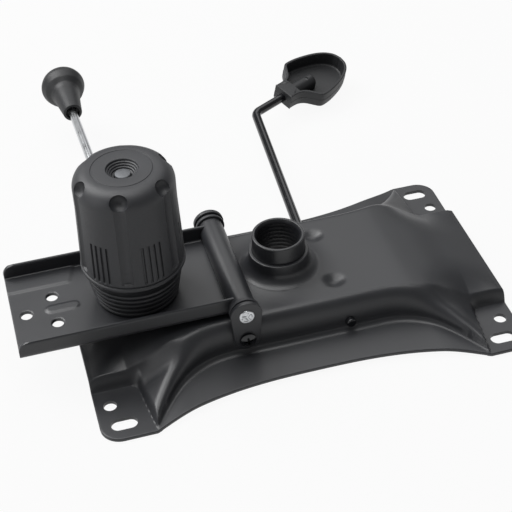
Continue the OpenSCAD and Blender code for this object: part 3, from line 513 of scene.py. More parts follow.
class SpringSizes(PropertyGroup):
    """Sizes of the spring, its cup, its bolt and the knob."""

    bolt_back: length("Bolt behind", "Distance of the spring bolt behind the hinge", 60.5)
    bolt_d: length("Bolt", "Diameter of the spring bolt", 10.0)
    pitch: length("Thread pitch", "Pitch of the bolt's thread", 1.5)
    bolt_top: length("Bolt top", "Height of the bolt's upper end above the seat", 132.4)
    spring_od: length("Spring", "Outside diameter of the spring", 46.0)
    wire_d: length("Wire", "Diameter of the spring wire", 6.0)
    cup_d: length("Cup", "Diameter of the cup at its foot", 54.0)
    cup_h: length("Cup height", "Height of the cup", 34.0)
    knob_d: length("Knob rim", "Diameter over the knob's rim", 67.6)
    knob_top_d: length("Knob top", "Diameter of the knob above its rim", 63.6)
    knob_h: length("Knob height", "Height of the knob", 71.5)
    knob_z: length("Knob top height", "Height of the knob's top above the seat", 136.0)
    shoulder: length("Shoulder", "Rounding of the knob's shoulder", 11.0)
    groove_deep: length("Grooves", "Depth of the grooves under the scallops", 1.7)
    slit_deep: length("Slits", "Depth of the grip slits", 1.1)
    turns: count(FloatProperty, "Turns", "Number of turns of the spring", 6.5)
    scallops: count(IntProperty, "Scallops", "Number of scallops round the knob's shoulder", 6)


class LeverSizes(PropertyGroup):
    """Sizes of the tilt lock and of the gas lever."""

    lock_d: length("Lock rod", "Diameter of the lock rod", 6.4)
    lock_knob_d: length("Lock knob", "Diameter of the lock knob", 35.0)
    lock_reach: length("Lock reach", "Distance of the lock knob's face from the middle", 262.0)
    gas_d: length("Gas lever", "Diameter of the gas lever's rod", 7.0)
    paddle_l: length("Paddle length", "Length of the paddle", 69.0)
    paddle_w: length("Paddle width", "Width of the paddle", 46.0)
    paddle_h: length("Paddle height", "Height of the paddle's rim", 14.0)
    paddle_t: length("Paddle wall", "Wall thickness of the paddle", 2.2)


class Colours(PropertyGroup):
    """Colours of the finishes."""

    powder_coat: tint("Powder coat", "Powder coat of the pressed parts", "#222326")
    tube_coat: tint("Tube coat", "Coat of the socket", "#1c1d20")
    black_zinc: tint("Black zinc", "Black passivated screws and gas lever rod", "#131417")
    bright_zinc: tint("Bright zinc", "Plated rods and rivet heads", "#c6c8ca")
    oiled_steel: tint("Oiled steel", "Bolt", "#5f6164")
    spring_wire: tint("Spring wire", "Oil hardened spring wire", "#4a4d52")
    moulded_plastic: tint("Moulded plastic", "Tension knob, cup and bushes", "#27282b")
    # painted shade: the lever plastic is the knob's plastic drawn darker for less light on the levers
    lever_plastic: tint("Lever plastic", "Lock knob and paddle", "#1a1b1d")
    floor: tint("Floor", "Studio floor", "#f4f4f4")


# Places and slants of the levers. Gas lever: its shaft ahead of the socket and above the seat, where its long
# leg bends, its shaft's slant, its long leg's splay, the paddle's turn and roll. Lock rod: how far from the
# middle the tab's face lies from which it is measured, its height above the channel's floor and its splay
GAS_X, GAS_Z = 32.5, 15.0
GAS_BEND_Y, GAS_BEND_Z = 202.0, 18.0
GAS_SKEW, GAS_SPLAY, PADDLE_TURN, PADDLE_ROLL = np.radians([2.15, 3.5, 60.5, 14.0])
LOCK_ROOT, LOCK_UP = 30.2, 4.2
LOCK_SPLAY = np.radians(2.0)
LOCK_ALONG = np.array([-np.sin(LOCK_SPLAY), np.cos(LOCK_SPLAY), 0])


def sizes(context, *names):
    """The property groups of those names: lengths as plain numbers in millimetres, counts as they are."""
    out = []
    for name in names:
        group = getattr(context.scene, "mech_" + name)
        values = {key: getattr(group, key) for key in type(group).__annotations__}
        for key in values.keys() - {"turns", "scallops"}:
            values[key] = round(values[key] / MM, 5)
        out.append(SimpleNamespace(**values))
    return out


def bolt_place(b, k):
    """Where the spring bolt's axis stands along X."""
    return -b.hinge_back - k.bolt_back


# Seat plate

# Side shelf's fall to the edge, fillet at the crown's foot, corner radius and the pads' inner ends
SHELF_DROP, FILLET, CORNER_R, PAD_IN = 2.2, 4.0, 13.0, 115.5
# Where the crown's foot and the outline flare to the pads, by which power, and the foot's gap to full width
FLARE_FROM, FLARE_TO, FLARE_POWER, FLARE_IN = 48.0, 110.0, 2.4, 4.6
EDGE_TO, EDGE_POWER = 111.0, 2.7
# Slopes of the crown's ends and gussets, with the sheet's depth measured upright on each
END_SLOPE, END_DEPTH = 0.4, 1.077
GUSSET_SLOPE, GUSSET_DEPTH, GUSSET_FROM = 0.62, 1.18, 73.0
# The crown's sides droop: how deep, from where and over which run lengthwise and sideways, and the last fall
DROOP, DROOP_FROM, DROOP_RUN, DROOP_SIDE, DROOP_WIDE = 8.5, 80, 32, 12, 33
SIDE_FALL, SIDE_FROM = 1.05, 45
# Where the side shelf fades out, and over which run
SHELF_FROM, SHELF_RUN = 80, 36
# Widths over which ends, gussets, top and pads are rounded into each other
ROUND_END, ROUND_GUSSET, ROUND_TOP, ROUND_PAD = 10, 7, 3, 6
# Mound round the collar: its height and how far it runs out
MOUND, MOUND_RUN = 1.9, 14.0
# Dents: place, half-widths, and the square of the share of them at which they end
DENT_X, DENT_Y, DENT_WIDE, DENT_LONG, DENT_END = 31, 24.4, 6.6, 7.6, 1.5
# Seat holes and slots from the plate's middle
HOLE_X, HOLE_Y, SLOT_X, SLOT_Y = 132.5, 63.3, 126.8, 80.8


def collar_ring(s):
    """Radius at which the drawn collar's rounding runs into the crown."""
    return s.socket_od / 2 + s.sheet_t + 6.5


def crown_foot(s, u):
    """Half-width of the crown's foot at distance u from its middle: straight, then a power curve."""
    half = s.crown_w / 2
    out = share((u - FLARE_FROM) / (FLARE_TO - FLARE_FROM)) ** FLARE_POWER
    return half + (s.plate_w / 2 - FLARE_IN - half) * out


def plate_edge(s, u):
    """Half-width of the plate's edge: the waist, then a power curve out to the pads."""
    return s.waist_w / 2 + (s.plate_w / 2 - s.waist_w / 2) * share(u / EDGE_TO) ** EDGE_POWER


def wall_run(u):
    """How far in from the foot the wall's rounding reaches: 9 at the waist and 12 towards the pads."""
    return 9 + 3 * soft((u - 50) / 42)


def plate_height(s, x, y, o):
    """Height of the pressed plate, o below its outer face. It is the rounded lesser of the raised crown and
    of the four pad pockets, with a mound round the collar and two dents.

    The crown has a flat top, sloping ends, drooping sides and gussets, a wall rounded by
    (1 - (1 - t)^n)^(1 / n) and a fillet down to the side shelf.
    """
    u, v, e = np.abs(x - s.crown_x), np.abs(y), np.abs(x - s.plate_x)
    half, t = s.crown_w / 2, s.sheet_t
    k = 1 - soft((u - SHELF_FROM) / SHELF_RUN)
    out = share((plate_edge(s, u) - v) / (s.waist_w / 2 - half))
    shelf = t + (s.waist_h - t) * k + SHELF_DROP * k * out - o
    ends = s.end_h + (s.plate_l / 2 - e) * END_SLOPE - o * END_DEPTH
    top = soft_min(s.crown_h - o, ends, ROUND_END)
    droop = np.minimum(DROOP * soft((u - DROOP_FROM) / DROOP_RUN), np.maximum(0, top + o - s.corner_h))
    side = top - droop * share((v - DROOP_SIDE) / DROOP_WIDE) ** 2
    side = side - SIDE_FALL * np.maximum(0, v - SIDE_FROM) - o * 0.25
    gusset = s.crown_h - GUSSET_SLOPE * (u - GUSSET_FROM) - o * GUSSET_DEPTH
    top = soft_min(top, soft_max(side, gusset, ROUND_GUSSET), ROUND_TOP)
    # the wall's inner face lies o further in at the waist and 0.72 o at the pads, where the rounding softens
    foot = crown_foot(s, u) - o * (0.72 + 0.28 * (1 - soft((u - 52) / 30)))
    n = 2.3 - 0.5 * soft((u - 52) / 40)
    b = np.minimum(FILLET, np.maximum(0, top - shelf) / 3)
    outside = shelf + b * (1 - np.sqrt(np.maximum(0, 1 - share(1 - (v - foot) / FILLET) ** 2)))
    rise = np.maximum(0, 1 - share(1 - (foot - v) / wall_run(u)) ** n) ** (1 / n)
    inside = shelf + b + (top - shelf - b) * rise
    raised = np.where(top <= shelf + 0.05, shelf, np.where(v >= foot, outside, inside))
    p = soft_min(u - (PAD_IN - 0.118 * (v - 50)), v - (half + 1.7), ROUND_PAD)
    pocket = t + np.maximum(0, -p) * 3 - np.where(p < 0, np.minimum(o * np.sqrt(10), o - p * 4), o)
    z = np.maximum(t - o, soft_min(raised, pocket, ROUND_TOP))
    # the crown rises softly towards the drawn collar: MOUND (1 - (distance - ring) / MOUND_RUN)^2
    away = np.hypot(x, y)
    z = z + MOUND * share(1 - (away - collar_ring(s)) / MOUND_RUN) ** 2 * (away > 5)
    # two soft round dents ahead of the socket, pressed from the top
    q = ((x - DENT_X) / DENT_LONG) ** 2 + ((v - DENT_Y) / DENT_WIDE) ** 2
    return z - s.dent * share(1 - q / DENT_END) ** 2 * (q < DENT_END)


# Stations across the plate: in from the crown's foot, out from it, and in from the edge
NEAR_FOOT = np.array([
    *(-11, -9.4, -8.2, -7.2, -6.4, -5.7, -5, -4.4, -3.8, -3.2),
    *(-2.7, -2.2, -1.8, -1.4, -1.05, -0.75, -0.5, -0.3, -0.15, -0.05),
])
BEYOND_FOOT = np.array([0.05, 0.3, 0.6, 1, 1.5, 2.1, 2.8, 3.5, 4.2, 5.2])
NEAR_EDGE = np.array([0.75, 0.5, 0.3, 0.15, 0.05, 0])


def plate_pressing(s):
    """Closed shell of the plate: grid lines follow the crown's foot from front to rear and the outline
    across, and the edge is rounded by r - sqrt(r^2 - (r - d)^2) at distance d from the outline."""
    half = s.plate_l / 2
    arc = np.sin(np.linspace(0, np.pi / 2, 15))[1:]
    ends = half - np.array([0.28, 0.12, 0.55])
    e = np.concatenate([np.linspace(116, half - CORNER_R, 19), half - CORNER_R + CORNER_R * arc, ends])
    e = np.unique(np.round(e, 3))
    u = np.concatenate([np.linspace(0, 96, 66), np.linspace(96, 122, 42)[1:]])
    x = [s.crown_x - u[u < 119], s.crown_x + u[u < 113], s.plate_x - e, s.plate_x + e]
    x = np.unique(np.round(np.concatenate(x), 3))
    x = x[np.concatenate([[True], np.diff(x) > 0.09])]
    x[0], x[-1] = s.plate_x - half, s.plate_x + half
    u, e = np.abs(x - s.crown_x), np.abs(x - s.plate_x)
    drop = np.maximum(0, e - half + CORNER_R)
    corner = s.plate_w / 2 - CORNER_R + np.sqrt(np.maximum(0, CORNER_R**2 - drop**2))
    edge = np.where(e < half - CORNER_R, plate_edge(s, u), corner)[:, None]
    k = 1 - soft((u - 97) / 14)
    foot = s.crown_w / 2 + (crown_foot(s, u) - s.crown_w / 2) * k
    reach = 1 + (wall_run(u) / 9 - 1) * k * 0.8
    inner = np.linspace(0, 1, 34, endpoint=False)[None] * (foot - 11.6 * reach)[:, None]
    wall = foot[:, None] + NEAR_FOOT[None] * reach[:, None]
    held = edge - 3.2 - 0.12 * np.arange(len(BEYOND_FOOT))[::-1][None]
    outer = np.minimum(foot[:, None] + BEYOND_FOOT[None], held)
    wall = np.minimum(wall, outer[:, :1] - 0.05 * np.arange(len(NEAR_FOOT), 0, -1)[None])
    rest = outer[:, -1:] + (edge - 1.1 - outer[:, -1:]) * np.linspace(0, 1, 27)[1:][None]
    y = np.concatenate([inner, wall, outer, rest, edge - NEAR_EDGE[None]], 1)
    y = np.concatenate([-y[:, :0:-1], y], 1)
    gx = np.broadcast_to(x[:, None], y.shape)
    de, dv = half - np.abs(gx - s.plate_x), edge - np.abs(y)
    cornered = (de < CORNER_R) & (np.abs(y) > s.plate_w / 2 - CORNER_R)
    round_d = CORNER_R - np.hypot(CORNER_R - de, np.abs(y) - s.plate_w / 2 + CORNER_R)
    d = np.where(cornered, round_d, np.minimum(de, dv))

    def roll(r):
        q = share(1 - d / r)
        return r * (1 - np.sqrt(1 - q * q))

    upper = np.stack([gx, y, plate_height(s, gx, y, 0) - roll(0.75)], -1)
    lower = np.stack([gx, y, plate_height(s, gx, y, s.sheet_t) + roll(0.4)], -1)
    return sheet_shell(upper, lower)


class MECH_OT_seat_plate(Operator):
    """Pressed seat plate with its drawn collar, seat holes and slots"""

    bl_idname = "mech.seat_plate"
    bl_label = "Seat plate"

    def execute(self, context):
        s, b, k = sizes(context, "plate", "back", "spring")
        below, above = -1, s.sheet_t + 2
        cutters = []
        for sx in (-1, 1):
            for sy in (-1, 1):
                hole = circle(s.hole_d / 2, 48, s.plate_x + sx * HOLE_X, sy * HOLE_Y)
                slot = oblong(s.plate_x + sx * SLOT_X, sy * SLOT_Y, s.slot_l, s.slot_d)
                cutters += [prism(hole, below, above), prism(slot, below, above)]
        ring = collar_ring(s)
        cutters.append(prism(circle(ring, 128), s.crown_h - 8, s.crown_h + 8))
        # the bolt rocks in a slot of the crown
        bolt_slot = oblong(bolt_place(b, k) - 2, 0, 19, 11)
        cutters.append(prism(bolt_slot, s.crown_h - 14, s.crown_h + 6))
        # the gas lever's shaft passes both walls, a little slanted
        slant = (-np.sin(GAS_SKEW), np.cos(GAS_SKEW), 0)
        for radius, start, end in ((3.36, -54, -40), (4.35, 40, 54)):
            cutters.append(laid(drill(radius, start, end), (GAS_X, 0, GAS_Z), slant))
        r0 = s.socket_od / 2 + 0.05
        r1 = r0 + s.sheet_t
        top, foot = s.crown_h + s.collar_h, s.crown_h + MOUND
        peak = foot + 2 * MOUND / MOUND_RUN * (ring - r1)
        collar = [(ring, foot), (r1, peak), (r1, top), (r0, top), (r0, peak - s.sheet_t)]
        collar = rounded([*collar, (ring, foot - s.sheet_t)], [0, 8.4, 0.8, 0.5, 3.5, 0], 10, closed=True)
        paint = ("base", "black_paint", "powder_coat")
        put_mesh("plate_pressing", plate_pressing(s), *paint, ["seat_plate"], cutters=cutters)
        put_mesh("plate_collar", turned(collar, 128, loop=True), *paint, crease=50)
        return {"FINISHED"}


# Boring marks in the socket's mouth: half-round grooves with this depth and gap, and how far they go down
BORE_DEEP, BORE_GAP, BORE_DOWN = 0.11, 3.1, 34


class MECH_OT_socket(Operator):
    """Gas lift socket: a turned tube with boring marks inside its mouth"""

    bl_idname = "mech.socket"
    bl_label = "Gas lift socket"

    def execute(self, context):
        (s,) = sizes(context, "plate")
        ro, ri, top, foot = s.socket_od / 2, s.socket_bore / 2, s.socket_top, 11.0
        # the marks start below the mouth's lead-in
        start = top - 3.2
        z = np.linspace(start, top - BORE_DOWN, 190)
        mark = np.abs(np.sin(np.pi * (start - z) / BORE_GAP)) ** 0.8 * soft((z - top + BORE_DOWN) / 6)
        outline = [(ri, foot + 1), (ri + 0.8, foot), (ro, foot), (ro, top), (ri + 1.3, top)]
        outline = rounded([*outline, (ri + 0.05, top - 2.2)], [0, 0.2, 0.5, 0.9, 0.5, 0.2], 6)
        tube = turned(np.concatenate([outline, np.column_stack([ri + BORE_DEEP * mark, z])]), 128, loop=True)
        put_mesh("socket_tube", tube, "base", "socket_steel", "tube_coat", ["gas_socket"])
        return {"FINISHED"}


# Hinge


def two_round_plate(low, high, r_low, r_high, depth, edge, steps=48):
    """A plate over two rounds of radius r at heights low and high with straight sides on their tangents. Its
    rim is a quarter round of radius edge at both faces, carried round the outline along its normals."""
    lean = np.arcsin((r_high - r_low) / (high - low))
    t = [np.linspace(lean, np.pi - lean, steps), np.linspace(np.pi - lean, TAU + lean, steps)]
    t = np.concatenate(t)
    n = np.column_stack([np.cos(t), np.sin(t)])
    upper = np.arange(2 * steps) < steps
    outline = np.where(upper[:, None], [0, high] + r_high * n, [0, low] + r_low * n)
    far, near = quarter(edge)
    inset, z = np.concatenate([far, near]), np.concatenate([near, depth - far])
    return skin(np.stack([level(outline - i * n, h) for i, h in zip(inset, z)]), fans=True)


# Staking in the axle's heads: angles of the Y that the punch leaves standing, the hollows' reach and depth
STAKE_TURNS, STAKE_REACH, STAKE_DEEP = np.radians((65, 185, 305)), 3.75, 0.7


def staked_head(r, t, z, top):
    """Height of the staking in an axle's head at height top: three hollows in a ring with a Y between them,
    each STAKE_DEEP soft(distance to the Y's nearest arm) deep."""
    arms = [np.where(np.cos(t - a) > 0, np.abs(r * np.sin(t - a)), r) for a in STAKE_TURNS]
    hollow = soft((np.minimum.reduce(arms) - 0.2) / 1.1) * soft((STAKE_REACH - r) / 0.8)
    return -STAKE_DEEP * hollow * (np.abs(z - top) < 0.75)


def cross_cutter(half_width, half_length, low, high):
    """A cross shaped cutter from low to high: twelve corners round, turned a little as the screw was left."""
    w, h = half_width, half_length
    corners = np.array([(w, h), (w, w), (h, w)])
    corners = np.concatenate([corners @ ((c, -q), (q, c)) for c, q in ((1, 0), (0, 1), (-1, 0), (0, -1))])
    a = np.radians(7)
    return prism(corners @ np.array([[np.cos(a), np.sin(a)], [-np.sin(a), np.cos(a)]]), low, high)


def screw_head(r, high):
    """Profile of a flanged screw: a domed head, high - 1.05 (distance / r)^2.2, and its shank."""
    dome = np.linspace(0, 1, 34) * r
    rest = [(r, high - 1.1), (r + 0.05, 0.3), (r - 0.4, 0.0), (3.0, 0.0), (3.0, -12.0), (0, -12.0)]
    cap = np.column_stack([dome, high - 1.05 * (dome / r) ** 2.2])
    return np.concatenate([cap, rounded(rest, [0, 0.3, 0.2, 0, 0.4, 0], 4)])


def axle_shell(r, head, neck):
    """The axle between two domed and staked heads, head - 0.28 (distance / r)^3, round the Z axis."""
    dome = np.linspace(0, 1, 30) * (r - 0.35)
    cap = np.column_stack([dome, head - 0.28 * (dome / r) ** 3])
    half = np.concatenate([cap, [(r - 0.12, head - 0.42), (r, head - 0.62), (r, neck)]])

    def stakes(r, t, z):
        return np.sign(z) * staked_head(r, t, np.abs(z), head)

    return turned(np.concatenate([half, half[::-1] * (1, -1)]), 120, height=stakes)


class MECH_OT_hinge(Operator):
    """Hinge: two lugs, the axle with staked heads, tube, flanged bushes and the lug screws"""

    bl_idname = "mech.hinge"
    bl_label = "Hinge"

    def execute(self, context):
        b, s = sizes(context, "back", "plate")
        x, z = -b.hinge_back, b.hinge_z
        # the lugs stand just off the crown's walls, and the tube ends short of them for the bushes' flanges
        inner = s.crown_w / 2 + 0.04
        outer, tube_end = inner + b.lug_t, inner - 4.2
        lug, faces = two_round_plate(b.screw_z, z, b.lug_w / 2 - 1.8, b.lug_w / 2, b.lug_t, 0.45)
        high = 2.7
        screw = turned(screw_head(5.2, high), 112)
        cross = cross_cutter(0.72, 3.0, 0.9, high + 1)
        bore, sleeve, rim = b.axle_d / 2 + 0.05, b.axle_d / 2 + 1.55, b.flange_d / 2
        bush = [(bore, inner - 17), (sleeve, inner - 17), (sleeve, tube_end + 0.02), (rim, tube_end + 0.02)]
        bush += [(rim, inner - 1.7), (rim - 1.8, inner - 1.7), (rim - 1.8, inner - 0.2), (bore, inner - 0.2)]
        bush = turned(rounded(bush, [0, 0.3, 0, 0.5, 0.5, 0.2, 0.2, 0], 5, closed=True), 96, loop=True)
        for side, sign in (("near", -1), ("far", 1)):
            # the lug is drawn in its own plane, and its depth becomes the sideways direction
            points = np.column_stack([x + lug[:, 0], sign * (inner + lug[:, 2]), lug[:, 1]])
            paint = ("base", "black_paint", "powder_coat")
            put_mesh(f"hinge_lug_{side}", (points, faces), *paint, [f"lug_{side}"])
            seat = ((x, sign * (outer + 0.05), b.screw_z), (0, sign, 0))
            head, cut = laid(screw, *seat), [laid(cross, *seat)]
            name, node = f"lug_screw_{side}_head", f"lug_screw_{side}"
            put_mesh(name, head, "base", "black_zinc", "black_zinc", [node], 35, cut)
            flange, node = laid(bush, (x, 0, z), (0, sign, 0)), f"hinge_bush_{side}"
            put_mesh(f"bush_flange_{side}", flange, "back", "black_plastic", "moulded_plastic", [node])
        axis = ((x, 0, z), (0, 1, 0))
        axle = laid(axle_shell(b.axle_d / 2, outer + 1.1, outer - 6), *axis)
        put_mesh("axle_staked", axle, "base", "zinc_steel", "bright_zinc", ["hinge_axle"], 35)
        ro, ri = b.tube_od / 2, b.axle_d / 2 + 1.6
        tube = [(ri, -tube_end), (ro, -tube_end), (ro, tube_end), (ri, tube_end)]
        tube = laid(turned(rounded(tube, [0.3, 0.6, 0.6, 0.3], 5, closed=True), 96, loop=True), *axis)
        put_mesh("tube_of_hinge", tube, "back", "black_paint", "powder_coat", ["hinge_tube"])
        return {"FINISHED"}


# Channel

# Raised ledge along the far flange: its height, near side and end
LEDGE_H, LEDGE_Y, LEDGE_END = 0.9, 20.6, -136.0
# Short bead between the backrest holes: its two ends, its middle line, width and height
BEAD_ENDS, BEAD_Y, BEAD_WIDE, BEAD_H = (-157.0, -135.0), -1.1, 7.2, 0.75
# Backrest holes: how far ahead of the channel's end the one and the two lie, their middle line and half gap
BACK_HOLE_X, BACK_HOLES_X, BACK_HOLE_Y, BACK_HOLES_OUT = 9.3, 27.7, -1.6, 12.9


def bead_height(x, y):
    """Height of the pressed bead: a smooth hump at distance d from its middle line, with round ends."""
    start, end = BEAD_ENDS
    d = np.hypot(x - np.clip(x, start + BEAD_WIDE / 2, end - BEAD_WIDE / 2), y - BEAD_Y)
    return BEAD_H * (1 - soft((d - BEAD_WIDE / 2 + 1.3) / 2.2))


def channel_shell(b):
    """Closed shell of the channel: its section, from the far flange's top down, round the bend, across the
    floor and up the near flange, is carried from the rounded end forward to the hinge's tube."""
    w, t, r = b.channel_w / 2, b.channel_t, b.channel_t + 1.5
    x0 = -b.hinge_back - b.channel_l
    a = np.linspace(0, np.pi / 2, 8)[1:-1]
    up = np.linspace(b.channel_h, r, 12)
    across = np.linspace(w - r, r - w, 98)
    cos, sin, back_cos, back_sin = np.cos(a), np.sin(a), np.cos(a[::-1]), np.sin(a[::-1])
    side = np.concatenate([up * 0 + w, w - r + r * cos, across, -(w - r + r * back_cos), up * 0 - w])
    rise = np.concatenate([up, r - r * sin, across * 0, r - r * back_sin, up[::-1]])
    inward = np.concatenate([up * 0 - 1, -cos, across * 0, back_cos, up * 0 + 1])
    lift = np.concatenate([up * 0, sin, across * 0 + 1, back_sin, up * 0])
    # the flanges' tops are rounded by 0.6 on both faces
    rim = np.maximum(0, 0.6 - (b.channel_h - rise))
    roll = 0.6 - np.sqrt(0.36 - np.minimum(0.6, rim) ** 2)

    def face(depth, sign):
        y = side + inward * (depth + sign * roll)
        z = b.channel_z + rise + lift * depth
        # the flanges' rear corners are rounded by 7, and the front ends against the tube
        d = np.maximum(0, 7 - (b.channel_z + b.channel_h - z))
        start = x0 + 7 - np.sqrt(np.maximum(0, 49 - d**2))
        stop = np.sqrt(np.maximum(0, (b.tube_od / 2 - 0.5) ** 2 - (z - b.hinge_z) ** 2))
        g = np.concatenate([[0, 0.0015, 0.0035], np.linspace(0.006, 1, 176)])[:, None]
        x = start + (-b.hinge_back - stop - start) * g
        y, z = np.broadcast_to(y, x.shape), np.broadcast_to(z, x.shape)
        end = np.maximum(0, 0.5 - (x - start))
        ledge = LEDGE_H * soft((y - LEDGE_Y) / 2.2) * soft((LEDGE_END + 0.3 * (y - LEDGE_Y) - x) / 4)
        z = z + lift * (ledge + bead_height(x, y))
        soften = sign * (0.5 - np.sqrt(np.maximum(0, 0.25 - end**2))) * 0.8
        return np.stack([x, y + inward * soften, z + lift * soften], -1)

    return sheet_shell(face(0.0, 1), face(t, -1))


class MECH_OT_back_channel(Operator):
    """Channel that carries the backrest: floor, two flanges, a pressed ledge, a bead and three holes"""

    bl_idname = "mech.back_channel"
    bl_label = "Backrest channel"

    def execute(self, context):
        b, k = sizes(context, "back", "spring")
        wall, x0 = b.channel_w / 2 - b.channel_t, -b.hinge_back - b.channel_l
        bolt_x, floor = bolt_place(b, k), b.channel_z + b.channel_t
        low, high = b.channel_z - 3, floor + 3
        # each punched hole flares by 0.75 where the punch went in
        r = b.back_hole / 2
        punch = [(0, low), (r, low), (r, floor - 0.55), (r + 0.75, floor + 0.06), (r + 0.75, high), (0, high)]
        punch = turned(punch, 56)
        cutters = []
        for dx, dy in ((BACK_HOLE_X, 0), (BACK_HOLES_X, BACK_HOLES_OUT), (BACK_HOLES_X, -BACK_HOLES_OUT)):
            cutters.append(laid(punch, (x0 + dx, BACK_HOLE_Y + dy, 0), (0, 0, 1)))
        cutters.append(prism(circle(k.bolt_d / 2 + 1, 48, bolt_x), low, high))
        # the lock tab comes up through a window in the floor
        window = [(-11.5, 29.2), (12.5, 29.2), (12.5, 34), (-11.5, 34)]
        cutters.append(prism(np.add(window, (bolt_x, 0)), low, high))
        # the lock rod passes the far flange
        at = bolt_x - (wall - LOCK_ROOT) * np.tan(LOCK_SPLAY)
        cutters.append(laid(drill(4.05, -3, 6), (at, wall, floor + LOCK_UP), LOCK_ALONG))
        paint, node = ("back", "black_paint", "powder_coat"), "back_channel"
        put_mesh("channel_pressing", channel_shell(b), *paint, [node], cutters=cutters)
        return {"FINISHED"}


# Spring, cup, bolt and knob

# Rings of the cup: their gap and radius; and the heights of the spring's top and of its two lengths' meeting
CUP_GAP, CUP_RING = 4.3, 1.5
SPRING_TOP, SPRING_MEET = 107.7, 88.0


class MECH_OT_spring_cup(Operator):
    """Ringed plastic cup that holds the spring's foot"""

    bl_idname = "mech.spring_cup"
    bl_label = "Spring cup"

    def execute(self, context):
        b, k = sizes(context, "back", "spring")
        inner = k.spring_od / 2 + 1
        # outer wall: a cone with five half-round rings, r = cone + sqrt(CUP_RING^2 - d^2) - CUP_RING at
        # distance d from the ring's middle, and a gap as deep as CUP_RING between two rings
        h = np.linspace(0.9, 21.2, 110)
        d = np.abs((h - 2.4 + CUP_GAP / 2) % CUP_GAP - CUP_GAP / 2)
        r = k.cup_d / 2 + 0.19 * h - CUP_RING - CUP_RING * soft((d - 1.25) / 0.7)
        r = r + np.sqrt(np.maximum(0, CUP_RING**2 - np.minimum(d, 1.46) ** 2))
        lip = [(inner + 3.4, 23.0), (inner + 1.8, 24.6), (inner + 1.8, k.cup_h), (inner, k.cup_h)]
        lip += [(inner, 2.5), (8.0, 2.5), (8.0, 9.0), (5.05, 9.0)]
        lip = rounded(lip, [0, 0.6, 0.5, 0.5, 1.2, 0.8, 0.5, 0.3], 5)
        profile = np.concatenate([[(5.05, 0.0), (k.cup_d / 2 - 1.6, 0.0)], np.column_stack([r, h]), lip])
        foot = (bolt_place(b, k), 0, b.channel_z + b.channel_t + 0.04)
        cup = laid(turned(profile, 144, loop=True), foot, (0, 0, 1))
        put_mesh("cup_rings", cup, "back", "black_plastic", "moulded_plastic", ["spring_cup"], 50)
        return {"FINISHED"}


class MECH_OT_spring(Operator):
    """Compression spring in two lengths that meet in the wire"""

    bl_idname = "mech.spring"
    bl_label = "Spring"

    def execute(self, context):
        b, k = sizes(context, "back", "spring")
        bolt_x = bolt_place(b, k)
        # the spring stands on the cup's floor and ends under the thrust washer
        z0, z1 = b.channel_z + b.channel_t + 2.85, SPRING_TOP
        radius, wire = (k.spring_od - k.wire_d) / 2, k.wire_d / 2
        # height along the wire: both end turns close up over three quarters of a turn
        t = np.linspace(0, 1, int(k.turns * 56) + 1)
        e = 0.75 / k.turns
        rise = np.where(t > 1 - e, 1 - e - (1 - t) ** 2 / (2 * e), t - e / 2)
        rise = np.where(t < e, t * t / (2 * e), rise) / (1 - e)
        height = z0 + wire + (z1 - z0 - 2 * wire) * rise
        angle = (TAU * k.turns * t)[:, None]
        c = around(20)
        out, over = radius + wire * np.cos(c)[None], height[:, None] + wire * np.sin(c)[None]
        points = np.stack([bolt_x + out * np.cos(angle), out * np.sin(angle), over], -1)
        cut = int(np.searchsorted(height, SPRING_MEET))
        look = (None, "spring_steel", "spring_wire", ["tension_spring"], 50)
        lower = put_mesh("spring_lower_turns", skin(points[: cut + 1], fans=True), *look)
        upper = put_mesh("spring_upper_turns", skin(points[cut:], fans=True), *look)
        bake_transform(lower)
        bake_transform(upper)
        return {"FINISHED"}


class MECH_OT_bolt(Operator):
    """Spring bolt: hexagon head, plain shank and rolled thread"""

    bl_idname = "mech.bolt"
    bl_label = "Spring bolt"

    def execute(self, context):
        b, k = sizes(context, "back", "spring")
        # head is the height of the hexagon's upper face, on which the rocker washer lies
        r, head, top = k.bolt_d / 2, 13.13, k.bolt_top
        t = around(60)[None]
        # hexagon: r = flat / cos(angle to the nearest flat), chamfered to a round
        flat = k.bolt_d * 1.88 * np.cos(np.pi / 6) / 2
        hexagon = flat / np.cos((t + np.pi / 6) % (np.pi / 3) - np.pi / 6)
        z_head = head - np.array([6.4, 6.4, 6.0, 5.4, 0.4, 0, 0])[:, None]
        cap = np.array([0.0, flat - 0.4, flat + 0.1, flat + 2, flat + 2, flat + 1.4, r])[:, None]
        # thread: triangle wave of the pitch that climbs one pitch a turn and fades out before the flat end
        z = np.arange(58.5, top - 0.02, k.pitch / 7)[:, None]
        wave = soft(1 - np.abs(2 * ((z / k.pitch - t / TAU) % 1) - 1) * 1.15)
        depth = 0.62 * soft((z - 58) / 3) * soft((top - 5 - z) / 2)
        thread = r + 0.02 - depth * wave - np.maximum(0, z - top + 0.6) * 0.5
        shank, end = np.full((3, 1), r - 0.02), np.array([[r - 0.5], [0.0]])
        rr = np.concatenate([np.minimum(hexagon, cap) * (cap > 0), shank + 0 * t, thread, end + 0 * t])
        zz = np.concatenate([z_head, [[head + 0.3], [40], [58.0]], z, [[top], [top]]]) + 0 * t
        shell = skin(np.stack([bolt_place(b, k) + rr * np.cos(t), rr * np.sin(t), zz], -1))
        put_mesh("bolt_threaded", shell, "draw", "zinc_steel", "oiled_steel", ["tension_bolt"])
        return {"FINISHED"}


# Knob: degrees of half a sector and between two slits; half-widths of slits and grooves; its turn at rest
SECTOR, SLIT_GAP = 30.0, 6.8
SLIT_HALF, GROOVE_HALF = 0.75, 3.75
KNOB_TURN = np.radians(-106)
# Scallops: the ball that presses each one, its radius and where it stands off the shoulder's centre
BALL_R, BALL_OUT, BALL_TILT = 5.9, 1.0, np.radians(36)


